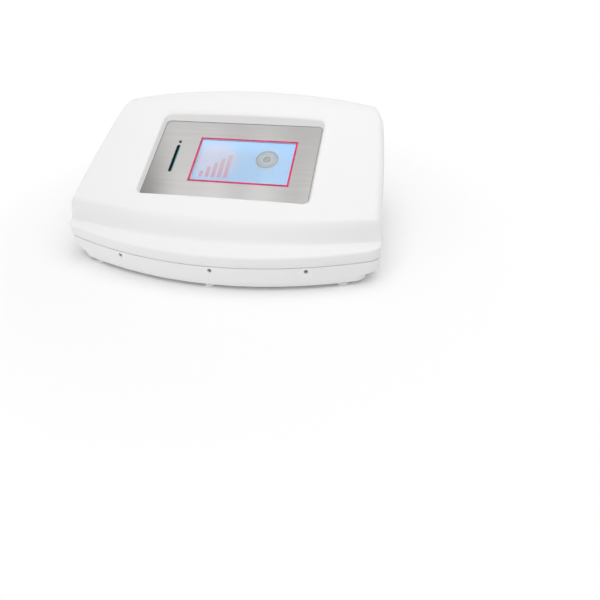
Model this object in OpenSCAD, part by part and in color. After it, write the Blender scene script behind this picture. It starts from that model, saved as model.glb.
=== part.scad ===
// Compression therapy pump: a white two-shell desktop console with a sloping steel control panel,
// a colour touch display, a key-card slot, and the air pump, valves and electronics inside.
// Lengths are in millimetres. Modules work with Y counted from the bowed front edge, and framed()
// moves them to the reference point: the middle of the footprint, at the surface the feet stand on.

/* [Body] */
// Width of the body across its widest line
body_w = 490; // [470:1:520]
// Depth of the body along its centre line
body_d = 342; // [330:1:370]
// Radius of the bow of the front edge
front_r = 558; // [450:10:700]
// Radius of the bow of the rear edge
rear_r = 1380; // [1200:50:2500]
// How much each side draws in, half the depth away from the widest line
side_bow = 9.5; // [4:0.5:14]
// Distance of the widest line behind the front edge
widest_y = 50; // [40:1:100]
// How much wider each side is along the ledge than behind the riser
shoulder = 4; // [2:0.5:8]
// Plan radius of the front corners
corner_front = 13; // [9:1:20]
// Plan radius of the rear corners
corner_rear = 43; // [34:1:56]
// Wall of both mouldings
wall = 2.8; // [2.2:0.1:3.4]

/* [Tray] */
// Height of the feet, from the floor to the tray's underside
foot_h = 5.2; // [4:0.1:8]
// Height of the parting line between tray and cover
part_z = 39; // [34:0.5:44]
// How far the lower block of the tray is set in at each side
tray_step = 19; // [14:0.5:24]
// Height of the step at the sides of the tray
step_z = 17.5; // [15:0.5:20]
// Diameter of a foot
foot_dia = 17.5; // [14:0.5:22]
// Distance of the outer feet from the centre line
foot_x = 193; // [170:1:200]
// Offset of the middle front foot to the right of the centre line
foot_mid = 0; // [0:0.5:8]
// How far the front feet stand behind the front edge
foot_set = 5; // [4:0.5:16]
// Gap that shows as the parting line
part_gap = 0.4; // [0.3:0.1:0.8]

/* [Cover] */
// Height of the front lip's top edge
lip_z = 57; // [52:0.2:60]
// Rounding of the front lip
lip_round = 4; // [3.6:0.1:6]
// Depth of the ledge behind the lip, on the centre line
ledge_d = 30; // [24:1:36]
// How much the ledge climbs from the lip to the riser
ledge_rise = 3.4; // [1:0.2:6]
// Depth of the soft riser behind the ledge
riser_d = 24; // [18:1:28]
// Share of the riser's depth that its foot fillet takes
riser_foot = 0.2; // [0.1:0.05:0.4]
// Share of the riser's depth at which it starts to roll over
riser_roll = 0.45; // [0.4:0.05:0.7]
// Slope of the cover along its centre line, in degrees
cover_slope = 23.6; // [22:0.1:29]
// Height of the cover above the panel, at the panel's centre
cover_rise = 12.4; // [11.4:0.1:15]
// How much lower the sides are than the middle, at the rear
crown_drop = 11; // [6:1:32]
// How much the slope curves down toward its side edges, all along
side_drop = 6; // [0:0.5:10]
// Rounding of the cover's side edges
side_round = 11; // [10:0.5:18]
// Reach of the rounded crest at the rear
crest_round = 75; // [68:1:78]

/* [Control panel] */
// Height of the middle of the panel's face
plate_z = 126.1; // [124:0.2:130]
// Distance of the middle of the panel's face behind the front edge
plate_y = 167; // [162:0.5:178]
// Tilt of the panel, in degrees
plate_tilt = 22.5; // [21:0.1:26.5]
// Width of the window in the cover
win_w = 265; // [250:1:275]
// Length of the window, up the slope
win_l = 162; // [150:1:166]
// Corner radius of the window
win_r = 8; // [5:0.5:12]
// Reach of the soft roll where the cover turns into the window
win_roll = 10; // [7:0.5:11]
// How far that roll drops
win_drop = 4.5; // [3:0.1:5]
// Width of the rim that the plate seats against
rim_w = 3.2; // [2.6:0.1:4]
// How far the plate reaches past the window
plate_lap = 12; // [11:0.5:14]
// Thickness of the steel plate
plate_t = 1.5; // [1:0.1:2]
// Gap between the plate and the rim
seat_gap = 0.2; // [0.1:0.05:0.4]

/* [Display] */
// Width of the picture area
screen_w = 155; // [145:0.5:158]
// Height of the picture area
screen_h = 86; // [80:0.5:90]
// Offset of the screen to the right of the panel's centre
screen_x = 17.2; // [10:0.2:20]
// Width of the printed border round the screen
border_w = 3; // [2:0.1:4]
// Thickness of the printed border film
border_t = 0.3; // [0.2:0.05:0.5]
// Thickness of the touch glass
glass_t = 1.1; // [0.8:0.1:1.8]
// Thickness of the display module behind the glass
lcd_t = 5.7; // [5:0.1:7]
// Length of the key-card slot
slot_l = 55; // [55:0.5:60]
// Width of the key-card slot
slot_w = 3.6; // [3:0.1:3.9]
// Distance of the slot to the left of the panel's centre
slot_x = 97; // [94:0.2:100]
// Distance of the slot's middle below the panel's centre line
slot_down = 1.4; // [0:0.1:6]
// Diameter of the indicator lamp
led_dia = 5; // [3:0.5:5]
// Distance of the lamp above the panel's centre line
led_up = 34.2; // [34:0.2:40]

/* [Fasteners] */
// Shank diameter of the case screws
screw_dia = 3; // [2.6:0.1:3.2]
// Head diameter of the case screws
head_dia = 5.6; // [5:0.1:6.2]
// Height of the case screws
screw_z = 32; // [31:0.5:33]
// Distance of the outer front screws from the centre line, along the bow
screw_x = 144.5; // [120:0.5:150]
// Offset of the middle front screw to the right of the centre line
screw_mid = 4.5; // [0:0.5:6]
// Clearance round a shank or a peg, on the radius
fit = 0.1; // [0.05:0.05:0.2]

/* [Rear panel] */
// Width of the opening in the cover's rear wall
rear_win_w = 296; // [290:1:300]
// Height of the top of that opening
rear_win_z = 119; // [117:1:124]
// Thickness of the rear panel
rear_t = 2; // [1.5:0.1:2.5]
// Height of the air sockets' centre line
port_z = 92; // [88:1:96]
// Distance of the pair of air sockets from the centre line, on its left
port_mid = -80; // [-84:1:-78]
// Distance between the two air sockets
port_pitch = 56; // [52:1:60]
// Outer diameter of a socket's air nozzles
nozzle_dia = 5; // [4:0.2:5.4]
// Bore of a nozzle
nozzle_bore = 3; // [2:0.2:3.4]
// Distance of the fan's axis to the right of the centre line
fan_x = 18; // [14:1:20]
// Side of the square fan
fan_side = 50; // [50:1:51]
// Thickness of the fan
fan_t = 15; // [12:1:20]
// Distance of the mains inlet to the right of the centre line
inlet_x = 86; // [84:1:90]
// Distance of the power switch to the right of the centre line
switch_x = 125; // [122:1:130]
// Travel of the rocker from off to on, in degrees
rocker_throw = 20; // [14:1:22]

/* [Pump and electronics] */
// Diameter of the pump motor
motor_dia = 54; // [48:1:56]
// Length of the pump motor
motor_l = 72; // [64:1:76]
// Height of the motor's axis
pump_z = 55; // [54:1:58]
// Thickness of the circuit boards
board_t = 1.6; // [1:0.1:2]
// Height of the lower circuit boards
board_z = 16; // [14:0.5:18]

/* [Hidden] */
$fn = 48;
eps = 0.01;

white = [0.93, 0.93, 0.92];
steel = [0.74, 0.74, 0.75];
dark = [0.13, 0.13, 0.14];
pink = [0.88, 0.17, 0.42];
board_green = [0.08, 0.33, 0.2];
zinc = [0.66, 0.67, 0.68];
clear_grey = [0.75, 0.78, 0.8];
cable_grey = [0.55, 0.56, 0.58];

module framed() translate([0, -body_d/2, 0]) children();

// ---------- plan of the body: rows run across it, and row d crosses the centre line at y = d ----------

tilt_c = cos(plate_tilt);
tilt_s = sin(plate_tilt);
win_y0 = plate_y - win_l/2*tilt_c;
win_y1 = plate_y + win_l/2*tilt_c;
riser_end = ledge_d + riser_d;
straight_y0 = win_y0 - win_roll*tilt_c + 1;
straight_y1 = win_y1 + 6;

function half_w(d) = body_w/2 - side_bow*pow((d - widest_y)/(body_d/2), 2) - shoulder*rise(d);
function corner_cut(e, r) = e >= r ? 0 : r - sqrt(r*r - pow(r - e, 2));
function row_w(d, t) = half_w(d) - t - corner_cut(d - t, corner_front - t)
    - corner_cut(body_d - t - d, corner_rear - t);
function row_bend(d) = (d < straight_y0 ? 1 - pow(d/straight_y0, 1.35) : 0)/(2*front_r)
    - max(0, (d - straight_y1)/(body_d - straight_y1))/(2*rear_r);
function row_y(x, d) = d + row_bend(d)*x*x;

// ---------- height of the cover ----------

// 0 on the ledge and 1 on the slope: a short fillet, a steep stretch and a long roll
riser_grade = 2/(1 + riser_roll - riser_foot);
function rise(d) = let (c = min(1, max(0, (d - ledge_d)/riser_d)))
    c < riser_foot ? riser_grade*c*c/(2*riser_foot)
    : c < riser_roll ? riser_grade*(c - riser_foot/2)
    : 1 - riser_grade*(1 - c)*(1 - c)/(2*(1 - riser_roll));
function plate_at(y) = plate_z + tan(plate_tilt)*(y - plate_y);
function slope_z(x, y) = plate_z + cover_rise + tan(cover_slope)*(y - plate_y)
    - crown_drop*max(0, (y - ledge_d)/(body_d - ledge_d))*pow(2*x/body_w, 2)
    - side_drop*pow(2*x/body_w, 4);
function roof_z(x, d) = (1 - rise(d))*(lip_z + ledge_rise*d/ledge_d) + rise(d)*slope_z(x, row_y(x, d));
// How far the rounded edges pull the surface down, ex from the side, ef from the front, er from the rear
function edge_drop(d, ex, ef, er, t) =
    let (rs = lip_round + (side_round - lip_round)*rise(d) - t,
        rf = lip_round - t, rr = crest_round - t,
        qx = max(0, 1 - ex/rs), qf = max(0, 1 - ef/rf), qr = max(0, 1 - er/rr),
        qy = max(qf, qr), ry = qr > qf ? rr : rf,
        s = qx*qx + qy*qy)
    s <= 0 ? 0 : (qx*qx*(rs*(1 - qy) + ry*qy) + qy*qy*ry)/s*(1 - sqrt(1 - min(1, s)));
function shell_z(x, d, t) = roof_z(x, d) - 1.13*t
    - edge_drop(d, row_w(d, t) - abs(x), d - t, body_d - t - d, t);

// ---------- the cover's net of points: t is 0 on the outer face and the wall on the inner one ----------

function arc_steps(n) = [for (k = [0:n]) 1 - cos(90*k/n)];
function rolled(t) = t == 0 ? [0.3*win_roll, win_roll] : [2.5, 7];
function hole_grow(t) = t == 0 ? 0 : rim_w;
// Columns from the centre line to the side of row d
function half_cols(d, t) =
    let (w = row_w(d, t), r = lip_round + (side_round - lip_round)*rise(d) - t,
        h = win_w/2 + hole_grow(t), n = h + rolled(t)[1], m = w - r)
    concat([0, h*0.4, h*0.75, h - win_r, h], [for (o = rolled(t)) h + o],
        [n + (m - n)*0.4, n + (m - n)*0.75], [for (k = [5:-1:0]) w - r*(1 - cos(18*k))]);
function cols(d, t) = let (h = half_cols(d, t), n = len(h))
    concat([for (k = [n - 1:-1:1]) -h[k]], h);
function rows(t) =
    let (g = hole_grow(t)*tilt_c, y0 = win_y0 - g, y1 = win_y1 + g, o = rolled(t)*tilt_c,
        lip = lip_round - t, crest = crest_round - t)
    concat([for (s = arc_steps(3)) t + lip*s],
        [ledge_d*0.55, ledge_d], [for (k = [1:5]) ledge_d + riser_d*k/5],
        [(riser_end + y0 - o[1])/2, y0 - o[1], y0 - o[0], y0],
        [y0 + win_r*tilt_c, plate_y, y1 - win_r*tilt_c, y1],
        [y1 + o[0], y1 + o[1]],
        [for (k = [8:-1:0]) body_d - t - crest*(1 - cos(11.25*k))]);
first_win_row = 4 + 2 + 5 + 3;
last_win_row = first_win_row + 4;
n_half = len(half_cols(widest_y, 0)) - 1;
n_cols = 2*n_half + 1;
n_rows = len(rows(0));
win_cols = [n_half - 4, n_half + 4];
function is_corner(i, j) = (i == first_win_row || i == last_win_row)
    && (j == win_cols[0] || j == win_cols[1]);
// A window corner is drawn in to the middle of its rounding
corner_in = win_r*(1 - cos(45));
function net_point(i, j, d, x, t) =
    let (c = is_corner(i, j) ? corner_in : 0, px = x - sign(x)*c,
        pd = d + (i == first_win_row ? c : -c)*tilt_c,
        on_win = i >= first_win_row && i <= last_win_row && j >= win_cols[0] && j <= win_cols[1],
        z = shell_z(px, pd, t),
        away = max(0, abs(px) - win_w/2, (win_y0 - pd)/tilt_c, (pd - win_y1)/tilt_c),
        q = t > 0 ? 0 : on_win ? 1 : max(0, 1 - away/win_roll))
    [px, row_y(px, pd), q == 0 ? z : max(plate_at(pd) + 1, z - win_drop*(1 - sqrt(1 - q*q)))];
function net(t) = [for (i = [0:n_rows - 1]) let (d = rows(t)[i], c = cols(d, t))
    for (j = [0:n_cols - 1]) net_point(i, j, d, c[j], t)];
edge_loop = concat([for (j = [0:n_cols - 1]) [0, j]], [for (i = [1:n_rows - 1]) [i, n_cols - 1]],
    [for (j = [n_cols - 2:-1:0]) [n_rows - 1, j]], [for (i = [n_rows - 2:-1:1]) [i, 0]]);
win_loop = concat([for (j = [win_cols[0]:win_cols[1]]) [first_win_row, j]],
    [for (i = [first_win_row + 1:last_win_row]) [i, win_cols[1]]],
    [for (j = [win_cols[1] - 1:-1:win_cols[0]]) [last_win_row, j]],
    [for (i = [last_win_row - 1:-1:first_win_row + 1]) [i, win_cols[0]]]);
function quad(a, b, c, d) = [[a, b, c], [a, c, d]];
function strip(upper, lower) = [for (k = [0:len(upper) - 1]) let (m = (k + 1)%len(upper))
    each quad(upper[k], upper[m], lower[m], lower[k])];
function flat_at(p, z) = [p.x, p.y, z];

// Shell of the cover: crowned outer face, inner face, walls down to the parting line, window with its rim
module cover_shell() {
    outer = net(0);
    inner = net(wall);
    n = n_rows*n_cols;
    at = function (e) e[0]*n_cols + e[1];
    edge = [for (e = edge_loop) at(e)];
    hole = [for (e = win_loop) at(e)];
    ne = len(edge);
    nw = len(hole);
    foot_out = [for (k = edge) flat_at(outer[k], part_z)];
    foot_in = [for (k = edge) flat_at(inner[k], part_z)];
    rim_in = [for (k = hole) flat_at(outer[k], plate_at(outer[k].y) + seat_gap)];
    rim_out = [for (k = hole) flat_at(inner[k], plate_at(inner[k].y) + seat_gap)];
    points = concat(outer, inner, foot_out, foot_in, rim_in, rim_out);
    b = 2*n;
    i_edge = [for (k = edge) n + k];
    i_hole = [for (k = hole) n + k];
    p_out = [for (k = [0:ne - 1]) b + k];
    p_in = [for (k = [0:ne - 1]) b + ne + k];
    r_in = [for (k = [0:nw - 1]) b + 2*ne + k];
    r_out = [for (k = [0:nw - 1]) b + 2*ne + nw + k];
    cells = [for (i = [0:n_rows - 2]) for (j = [0:n_cols - 2])
        if (!(i >= first_win_row && i < last_win_row && j >= win_cols[0] && j < win_cols[1])) [i, j]];
    faces = concat(
        [for (c = cells) let (k = at(c)) each quad(k + n_cols, k + n_cols + 1, k + 1, k)],
        [for (c = cells) let (k = n + at(c)) each quad(k, k + 1, k + n_cols + 1, k + n_cols)],
        strip(edge, p_out), strip(p_out, p_in), strip(p_in, i_edge),
        strip(r_in, hole), strip(r_out, r_in), strip(i_hole, r_out));
    polyhedron(points, faces);
}

// ---------- the tray's outline as one closed loop, and a skin over rings of it ----------

plan_loop = let (
    w0 = row_w(0, 0), w1 = row_w(body_d, 0),
    side = concat([for (k = [1:5]) corner_front*(1 - cos(18*k))],
        [for (k = [1:4]) corner_front + (body_d - corner_front - corner_rear)*k/5],
        [for (k = [5:-1:1]) body_d - corner_rear*(1 - cos(18*k))]),
    right = [for (d = side) [row_w(d, 0), d]])
    concat([for (k = [-6:6]) [w0*k/6, 0]], right, [for (k = [4:-1:-4]) [w1*k/4, body_d]],
        [for (k = [len(right) - 1:-1:0]) [-right[k].x, right[k].y]]);
function inset_point(p, ix, iy) = let (d = p.y, x = p.x*(1 - ix/half_w(d)))
    [x, row_y(x, d) + iy*(1 - 2*d/body_d)];
module skin(rings) {
    n = len(plan_loop);
    points = [for (r = rings) for (p = plan_loop) concat(inset_point(p, r[1], r[2]), r[0])];
    m = len(rings);
    sides = [for (k = [0:m - 2]) each strip([for (j = [0:n - 1]) (k + 1)*n + j],
        [for (j = [0:n - 1]) k*n + j])];
    polyhedron(points, concat([[for (j = [0:n - 1]) j]], sides,
        [[for (j = [n - 1:-1:0]) (m - 1)*n + j]]));
}

tray_top = part_z - part_gap;
floor_z = foot_h + wall;
// Height, side inset and front and rear inset of each ring: up the outside, over the rim, down the inside
tray_rings = [
    [foot_h, tray_step + 3, 3.2], [foot_h + 0.9, tray_step + 1.2, 1.8], [foot_h + 2.6, tray_step + 0.3, 0.9],
    [step_z - 6, tray_step, 0.6], [step_z - 4.6, tray_step, 0], [step_z - 0.3, tray_step - 2, 0],
    [step_z, tray_step - 6, 0], [step_z + 0.8, 4.5, 0], [step_z + 3, 1.4, 0], [step_z + 7, 0, 0],
    [tray_top - 0.8, 0, 0], [tray_top, 0.6, 0.6],
    [tray_top, wall, wall], [step_z + 6, wall, wall], [step_z + 3.8, wall + 3, wall],
    [step_z + 2.8, tray_step + wall, wall + 0.6], [floor_z + 1.4, tray_step + wall + 0.3, wall + 0.9],
    [floor_z, tray_step + wall + 1.7, wall + 2.2]];

// ---------- places ----------

module on_front(s) translate([0, front_r, 0]) rotate([0, 0, s/front_r*180/PI])
    translate([0, -front_r, 0]) children();
// On the rear edge Y points forward, into the body
module on_rear(s) translate([0, body_d - rear_r, 0]) rotate([0, 0, -s/rear_r*180/PI])
    translate([0, rear_r, 0]) rotate([0, 0, 180]) children();
module on_panel() translate([0, plate_y, plate_z]) rotate([plate_tilt, 0, 0]) children();
module along_y(y, z) translate([0, y, z]) rotate([-90, 0, 0]) children();
module at_each(places) for (p = places) translate([p.x, p.y, 0]) children();

front_screw_s = [-screw_x, screw_mid, screw_x];
rear_screw_x = rear_win_w/2 + 24;
rear_screw_s = [-rear_screw_x, rear_screw_x];
foot_in_front = foot_dia/2 + foot_set;
foot_in_rear = foot_dia/2 + 16;
foot_at = [for (x = [-foot_x, foot_mid, foot_x]) [x, row_y(x, 0) + foot_in_front],
    for (x = [-foot_x, 0, foot_x]) [x, row_y(x, body_d) - foot_in_rear]];
peg_r = 3;

recess = 8;
head_h = 2;
lug_front = recess + 2;
lug_back = lug_front + 9;
lug_w = 12;

// The rear panel stands flat behind the bowed rear wall
rear_half = rear_win_w/2 + 7;
rear_out = body_d - wall - pow(rear_half, 2)/(2*rear_r) - 0.3;
rear_in = rear_out - rear_t;
rear_bottom = 24;
rear_top = rear_win_z + 6;
rear_post_x = [-100, 60];
fan_z = port_z - 18;
inlet_z = fan_z;
switch_z = fan_z;
port_x = [port_mid - port_pitch/2, port_mid + port_pitch/2];

pump_w = 132;
pump_x0 = inlet_x - 48;
pump_y = rear_out - 80;
pump_base = 21;
pump_feet = [for (x = [10, pump_w - 6]) for (y = [-34, 34]) [pump_x0 + x, pump_y + y]];
main_size = [132, 98];
main_at = [-body_w/2 + 57, 62];
supply_size = [128, 92];
supply_at = [inlet_x - 26, 62];
function board_holes(at, size) = [for (x = [5, size.x - 5]) for (y = [5, size.y - 5]) at + [x, y]];
board_posts = concat(board_holes(main_at, main_size), board_holes(supply_at, supply_size));
manifold_x = [port_mid - 58, port_mid + 58];
manifold_l = manifold_x[1] - manifold_x[0];
manifold_d = 32;
manifold_y = [rear_out - 46 - manifold_d, rear_out - 46];
manifold_h = 22;
bracket_feet = [for (x = [manifold_x[0] + 8, manifold_x[1] - 8]) [x, manifold_y[0] + manifold_d/2]];
// Air intake: two fields of slots through the floor
slot_fields = [main_at.x + 40, supply_at.x + 30];
intake_y = pump_y - 70;

// Ledge between the flat rear panel and the bowed rear wall
module rear_ledge(z, t) {
    back = [for (x = [-rear_win_w/2:rear_win_w/12:rear_win_w/2]) [x, body_d - x*x/(2*rear_r) - wall/2]];
    translate([0, 0, z]) linear_extrude(t)
        polygon(concat(back, [[rear_win_w/2, rear_out + 0.3], [-rear_win_w/2, rear_out + 0.3]]));
}

// ---------- casing ----------

// Lug of the cover that hangs inside the tray's wall and takes a case screw
module case_lug() translate([-lug_w/2, 0, 0]) rotate([90, 0, 90]) linear_extrude(lug_w)
    polygon([[lug_front + 0.2, screw_z - 6], [lug_back, screw_z - 6], [lug_back, part_z + 9],
        [wall/2, part_z + 9], [wall/2, part_z + 3], [lug_front + 0.2, part_z + 3]]);

// Pan head with a cross recess, and its shank
module case_screw() {
    difference() {
        along_y(recess - head_h, screw_z) cylinder(d = head_dia, h = head_h);
        for (a = [45, 135]) along_y(recess - head_h, screw_z) rotate([0, 0, a])
            cube([head_dia*0.7, 0.8, head_h], center = true);
    }
    along_y(recess - eps, screw_z) cylinder(d = screw_dia, h = lug_back - recess - 1);
}

module screw_tube() along_y(wall/2, screw_z) cylinder(d = head_dia + 4, h = lug_front - wall/2);

module screw_way() {
    along_y(-1, screw_z) cylinder(d = head_dia + 0.8, h = recess + 1);
    along_y(-1, screw_z) cylinder(r = screw_dia/2 + fit, h = lug_back);
}

module lug_bore() along_y(0, screw_z) cylinder(r = screw_dia/2 + fit/2, h = lug_back + 2);

module base_tray() color(white) framed() difference() {
    union() {
        skin(tray_rings);
        for (s = front_screw_s) on_front(s) screw_tube();
        for (s = rear_screw_s) on_rear(s) screw_tube();
        at_each(foot_at) translate([0, 0, floor_z - 1]) cylinder(r = peg_r + 2.4, h = 5);
        at_each(pump_feet) translate([0, 0, floor_z - 1]) cylinder(r = 6, h = 3);
        at_each(board_posts) translate([0, 0, floor_z - 1]) cylinder(r = 3.4, h = board_z - floor_z + 1);
        at_each(bracket_feet) translate([0, 0, floor_z - 1]) cylinder(r = 5, h = 5);
        rear_ledge(tray_top - 2.4, 2.4);
        // Two posts with a groove carry the rear panel
        for (x = rear_post_x) translate([x - 8, rear_in - 4, floor_z - 1])
            cube([16, rear_t + 7, rear_bottom - floor_z + 5]);
    }
    for (s = front_screw_s) on_front(s) screw_way();
    for (s = rear_screw_s) on_rear(s) screw_way();
    at_each(foot_at) translate([0, 0, foot_h - 1]) cylinder(r = peg_r + fit, h = wall + 8);
    at_each(pump_feet) translate([0, 0, floor_z]) cylinder(r = 2 + fit, h = 4);
    at_each(board_posts) translate([0, 0, floor_z]) cylinder(r = 1.5 + fit, h = board_z);
    at_each(bracket_feet) translate([0, 0, floor_z]) cylinder(r = 1.5 + fit, h = 6);
    for (x = rear_post_x) translate([x - 10, rear_in - 0.1, rear_bottom]) cube([20, rear_t + 0.2, 20]);
    for (x0 = slot_fields) for (k = [0:6]) translate([x0 + 10*k, intake_y, foot_h - 1])
        cube([4, 36, wall + 2]);
}

module top_cover() color(white) framed() difference() {
    union() {
        cover_shell();
        for (s = front_screw_s) on_front(s) case_lug();
        for (s = rear_screw_s) on_rear(s) case_lug();
        for (p = panel_screw_at) panel_boss(p);
        rear_ledge(rear_win_z, 2.4);
    }
    for (s = front_screw_s) on_front(s) lug_bore();
    for (s = rear_screw_s) on_rear(s) lug_bore();
    on_panel() at_each(panel_screw_at) translate([0, 0, -1]) cylinder(r = 1.25 + fit/2, h = 6);
    // Opening for the rear panel
    translate([-rear_win_w/2, body_d - 40, part_z - 1]) cube([rear_win_w, 60, rear_win_z - part_z + 1]);
}

module feet() color(white) framed() at_each(foot_at) rotate_extrude()
    polygon([[0, 0], [foot_dia/2 - 1.6, 0], [foot_dia/2 - 0.4, 1.1], [foot_dia/2, foot_h],
        [peg_r, foot_h], [peg_r, floor_z + 4.2], [peg_r - 0.8, floor_z + 5.4], [0, floor_z + 5.4]]);

module front_screws() color(zinc) framed() for (s = front_screw_s) on_front(s) case_screw();

module rear_screws() color(zinc) framed() for (s = rear_screw_s) on_rear(s) case_screw();

// ---------- control panel and what it carries ----------

plate_w = win_w + 2*plate_lap;
plate_l = win_l + 2*plate_lap;
panel_screw_at = [for (x = [-1, 1]) for (y = [-58, 0, 58]) [x*(win_w/2 + rim_w + 4.2), y]];

module panel_boss(p) {
    // Boss from the cover's inner face down to the plate
    y = plate_y + p.y*tilt_c;
    top = (shell_z(p.x, y, 0) - plate_at(y))*tilt_c - 1.3;
    on_panel() translate([p.x, p.y, seat_gap]) cylinder(r = 3, h = top - seat_gap);
}

module slot_outline(l, w) {
    square([w, l - w], center = true);
    for (s = [-1, 1]) translate([0, s*(l - w)/2]) circle(d = w);
}

module rounded_plate(w, l, r, t) {
    difference() {
        cube([w, l, t]);
        for (x = [0, 1]) for (y = [0, 1]) translate([x*w, y*l, -1])
            rotate([0, 0, 90*(x + y) + (x < y ? 180 : 0)]) corner_bite(r, t + 2);
    }
}

module corner_bite(r, h) difference() {
    translate([-1, -1, 0]) cube([r + 1, r + 1, h]);
    translate([r, r, -1]) cylinder(r = r, h = h + 2);
}

module control_panel() color(steel) framed() on_panel() difference() {
    translate([-plate_w/2, -plate_l/2, -plate_t]) rounded_plate(plate_w, plate_l, 9, plate_t);
    translate([0, 0, -plate_t - 1]) {
        translate([screen_x - screen_w/2, -screen_h/2, 0]) cube([screen_w, screen_h, plate_t + 2]);
        translate([-slot_x, -slot_down, 0]) linear_extrude(plate_t + 2) slot_outline(slot_l, slot_w);
        translate([-slot_x, led_up, 0]) cylinder(r = led_dia/2 + fit, h = plate_t + 2);
        at_each(panel_screw_at) cylinder(r = 1.25 + 2*fit, h = plate_t + 2);
        at_each(post_at) cylinder(r = 1.5 + fit, h = plate_t + 0.6);
    }
}

module panel_screws() color(zinc) framed() on_panel() at_each(panel_screw_at) {
    translate([0, 0, -plate_t - 2]) cylinder(r = 2.6, h = 2);
    translate([0, 0, -plate_t - eps]) cylinder(r = 1.25, h = plate_t + 4);
}

module screen_border() color(pink) framed() on_panel() translate([screen_x, 0, 0]) difference() {
    translate([-screen_w/2 - border_w, -screen_h/2 - border_w, 0])
        cube([screen_w + 2*border_w, screen_h + 2*border_w, border_t]);
    translate([-screen_w/2, -screen_h/2, -1]) cube([screen_w, screen_h, border_t + 2]);
}

glass_margin = 3;
lcd_w = screen_w + 9;
lcd_h = screen_h + 13;
module touch_glass() color(clear_grey, 0.4) framed() on_panel()
    translate([screen_x - screen_w/2 - glass_margin, -screen_h/2 - glass_margin, -plate_t - glass_t])
        cube([screen_w + 2*glass_margin, screen_h + 2*glass_margin, glass_t]);

lcd_top = -plate_t - glass_t;
module lcd_module() color(dark) framed() on_panel() translate([screen_x - lcd_w/2, -lcd_h/2, lcd_top - lcd_t])
    difference() {
        cube([lcd_w, lcd_h, lcd_t]);
        // Shallow step of the metal frame round its back
        translate([4, 4, -1]) cube([lcd_w - 8, lcd_h - 8, 1.8]);
    }

post_at = [for (x = [-1, 1]) for (y = [-1, 1]) [screen_x + x*(lcd_w/2 + 6), y*(lcd_h/2 - 3)]];
board_drop = 16;
module display_posts() color(zinc) framed() on_panel() at_each(post_at) {
    translate([0, 0, -plate_t - 1]) cylinder(r = 1.5, h = 1.6);
    translate([0, 0, -board_drop]) cylinder(r = 3, h = board_drop - plate_t, $fn = 6);
    translate([0, 0, -board_drop - board_t - 3]) cylinder(r = 1.5, h = board_t + 3 + eps);
}

display_w = lcd_w + 22;
display_l = lcd_h + 8;
spacer_h = board_drop + lcd_top - lcd_t;
module display_board() framed() on_panel() translate([screen_x, 0, -board_drop - board_t]) {
    color(board_green) difference() {
        translate([-display_w/2, -display_l/2, 0]) cube([display_w, display_l, board_t]);
        translate([-screen_x, 0, -1]) at_each(post_at) cylinder(r = 1.5 + fit, h = board_t + 2);
    }
    // Spacers that back the display module, two chips and the ribbon's connector
    color(dark) for (x = [-1, 1]) for (y = [-1, 1])
        translate([x*(lcd_w/2 - 10) - 4, y*(lcd_h/2 - 12) - 4, board_t - eps]) cube([8, 8, spacer_h]);
    color(dark) translate([-20, -8, -2.2]) cube([22, 22, 2.2 + eps]);
    color(dark) translate([30, -30, -1.8]) cube([14, 18, 1.8 + eps]);
    color(white) translate([ribbon_x - screen_x - 2, -display_l/2 + 8, -5]) cube([ribbon_w + 4, 6, 5 + eps]);
}

module status_led() color(pink) framed() on_panel() translate([-slot_x, led_up, 0]) {
    translate([0, 0, -plate_t - 1]) cylinder(d = led_dia, h = plate_t + 1);
    intersection() {
        sphere(d = led_dia);
        translate([-led_dia, -led_dia, -eps]) cube([2*led_dia, 2*led_dia, 0.9]);
    }
    translate([0, 0, -plate_t - 1.8]) cylinder(d = led_dia + 1.6, h = 1.4);
}

reader_w = 12;
reader_l = slot_l + 6;
reader_depth = 45;
module card_reader() color(dark) framed() on_panel() translate([-slot_x, -slot_down, -plate_t]) difference() {
    union() {
        translate([-reader_w/2, -reader_l/2, -reader_depth]) cube([reader_w, reader_l, reader_depth - 0.2]);
        // Flanges against the back of the plate
        translate([-reader_w/2 - 5, -reader_l/2 + 8, -3]) cube([reader_w + 10, reader_l - 16, 2.8]);
    }
    translate([0, 0, -reader_depth + 2]) linear_extrude(reader_depth)
        square([slot_w - 0.6, slot_l - 0.6], center = true);
}

// The ribbon leaves the display board's connector and drops to the main board's
ribbon_x = -64;
ribbon_w = 26;
ribbon_y = plate_y - (display_l/2 - 11)*tilt_c + (board_drop + board_t + 5)*tilt_s;
ribbon_z = plate_z - (display_l/2 - 11)*tilt_s - (board_drop + board_t + 5)*tilt_c;
ribbon_foot = main_at.y + 73;
ribbon_foot_z = board_z + board_t + 6.3;
module ribbon_cable() color(cable_grey) framed() translate([ribbon_x, 0, 0]) rotate([90, 0, 90])
    linear_extrude(ribbon_w) polygon([[ribbon_y, ribbon_z - 0.3], [ribbon_y + 1, ribbon_z - 0.3],
        [ribbon_y + 5, ribbon_z - 20], [ribbon_foot + 5, 46], [ribbon_foot + 1, ribbon_foot_z],
        [ribbon_foot, ribbon_foot_z], [ribbon_foot + 4, 46], [ribbon_y + 4, ribbon_z - 20]]);

// ---------- rear panel and its fittings ----------

shroud_w = 44;
shroud_h = 28;
nozzle_at = [for (x = [-12, 0, 12]) for (z = [-5, 5]) [x, z]];
fan_hole_at = [for (x = [-1, 1]) for (z = [-1, 1]) [x*(fan_side/2 - 5), z*(fan_side/2 - 5)]];
inlet_w = 27;
inlet_h = 31;
switch_w = 13;
switch_h = 19;

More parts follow.
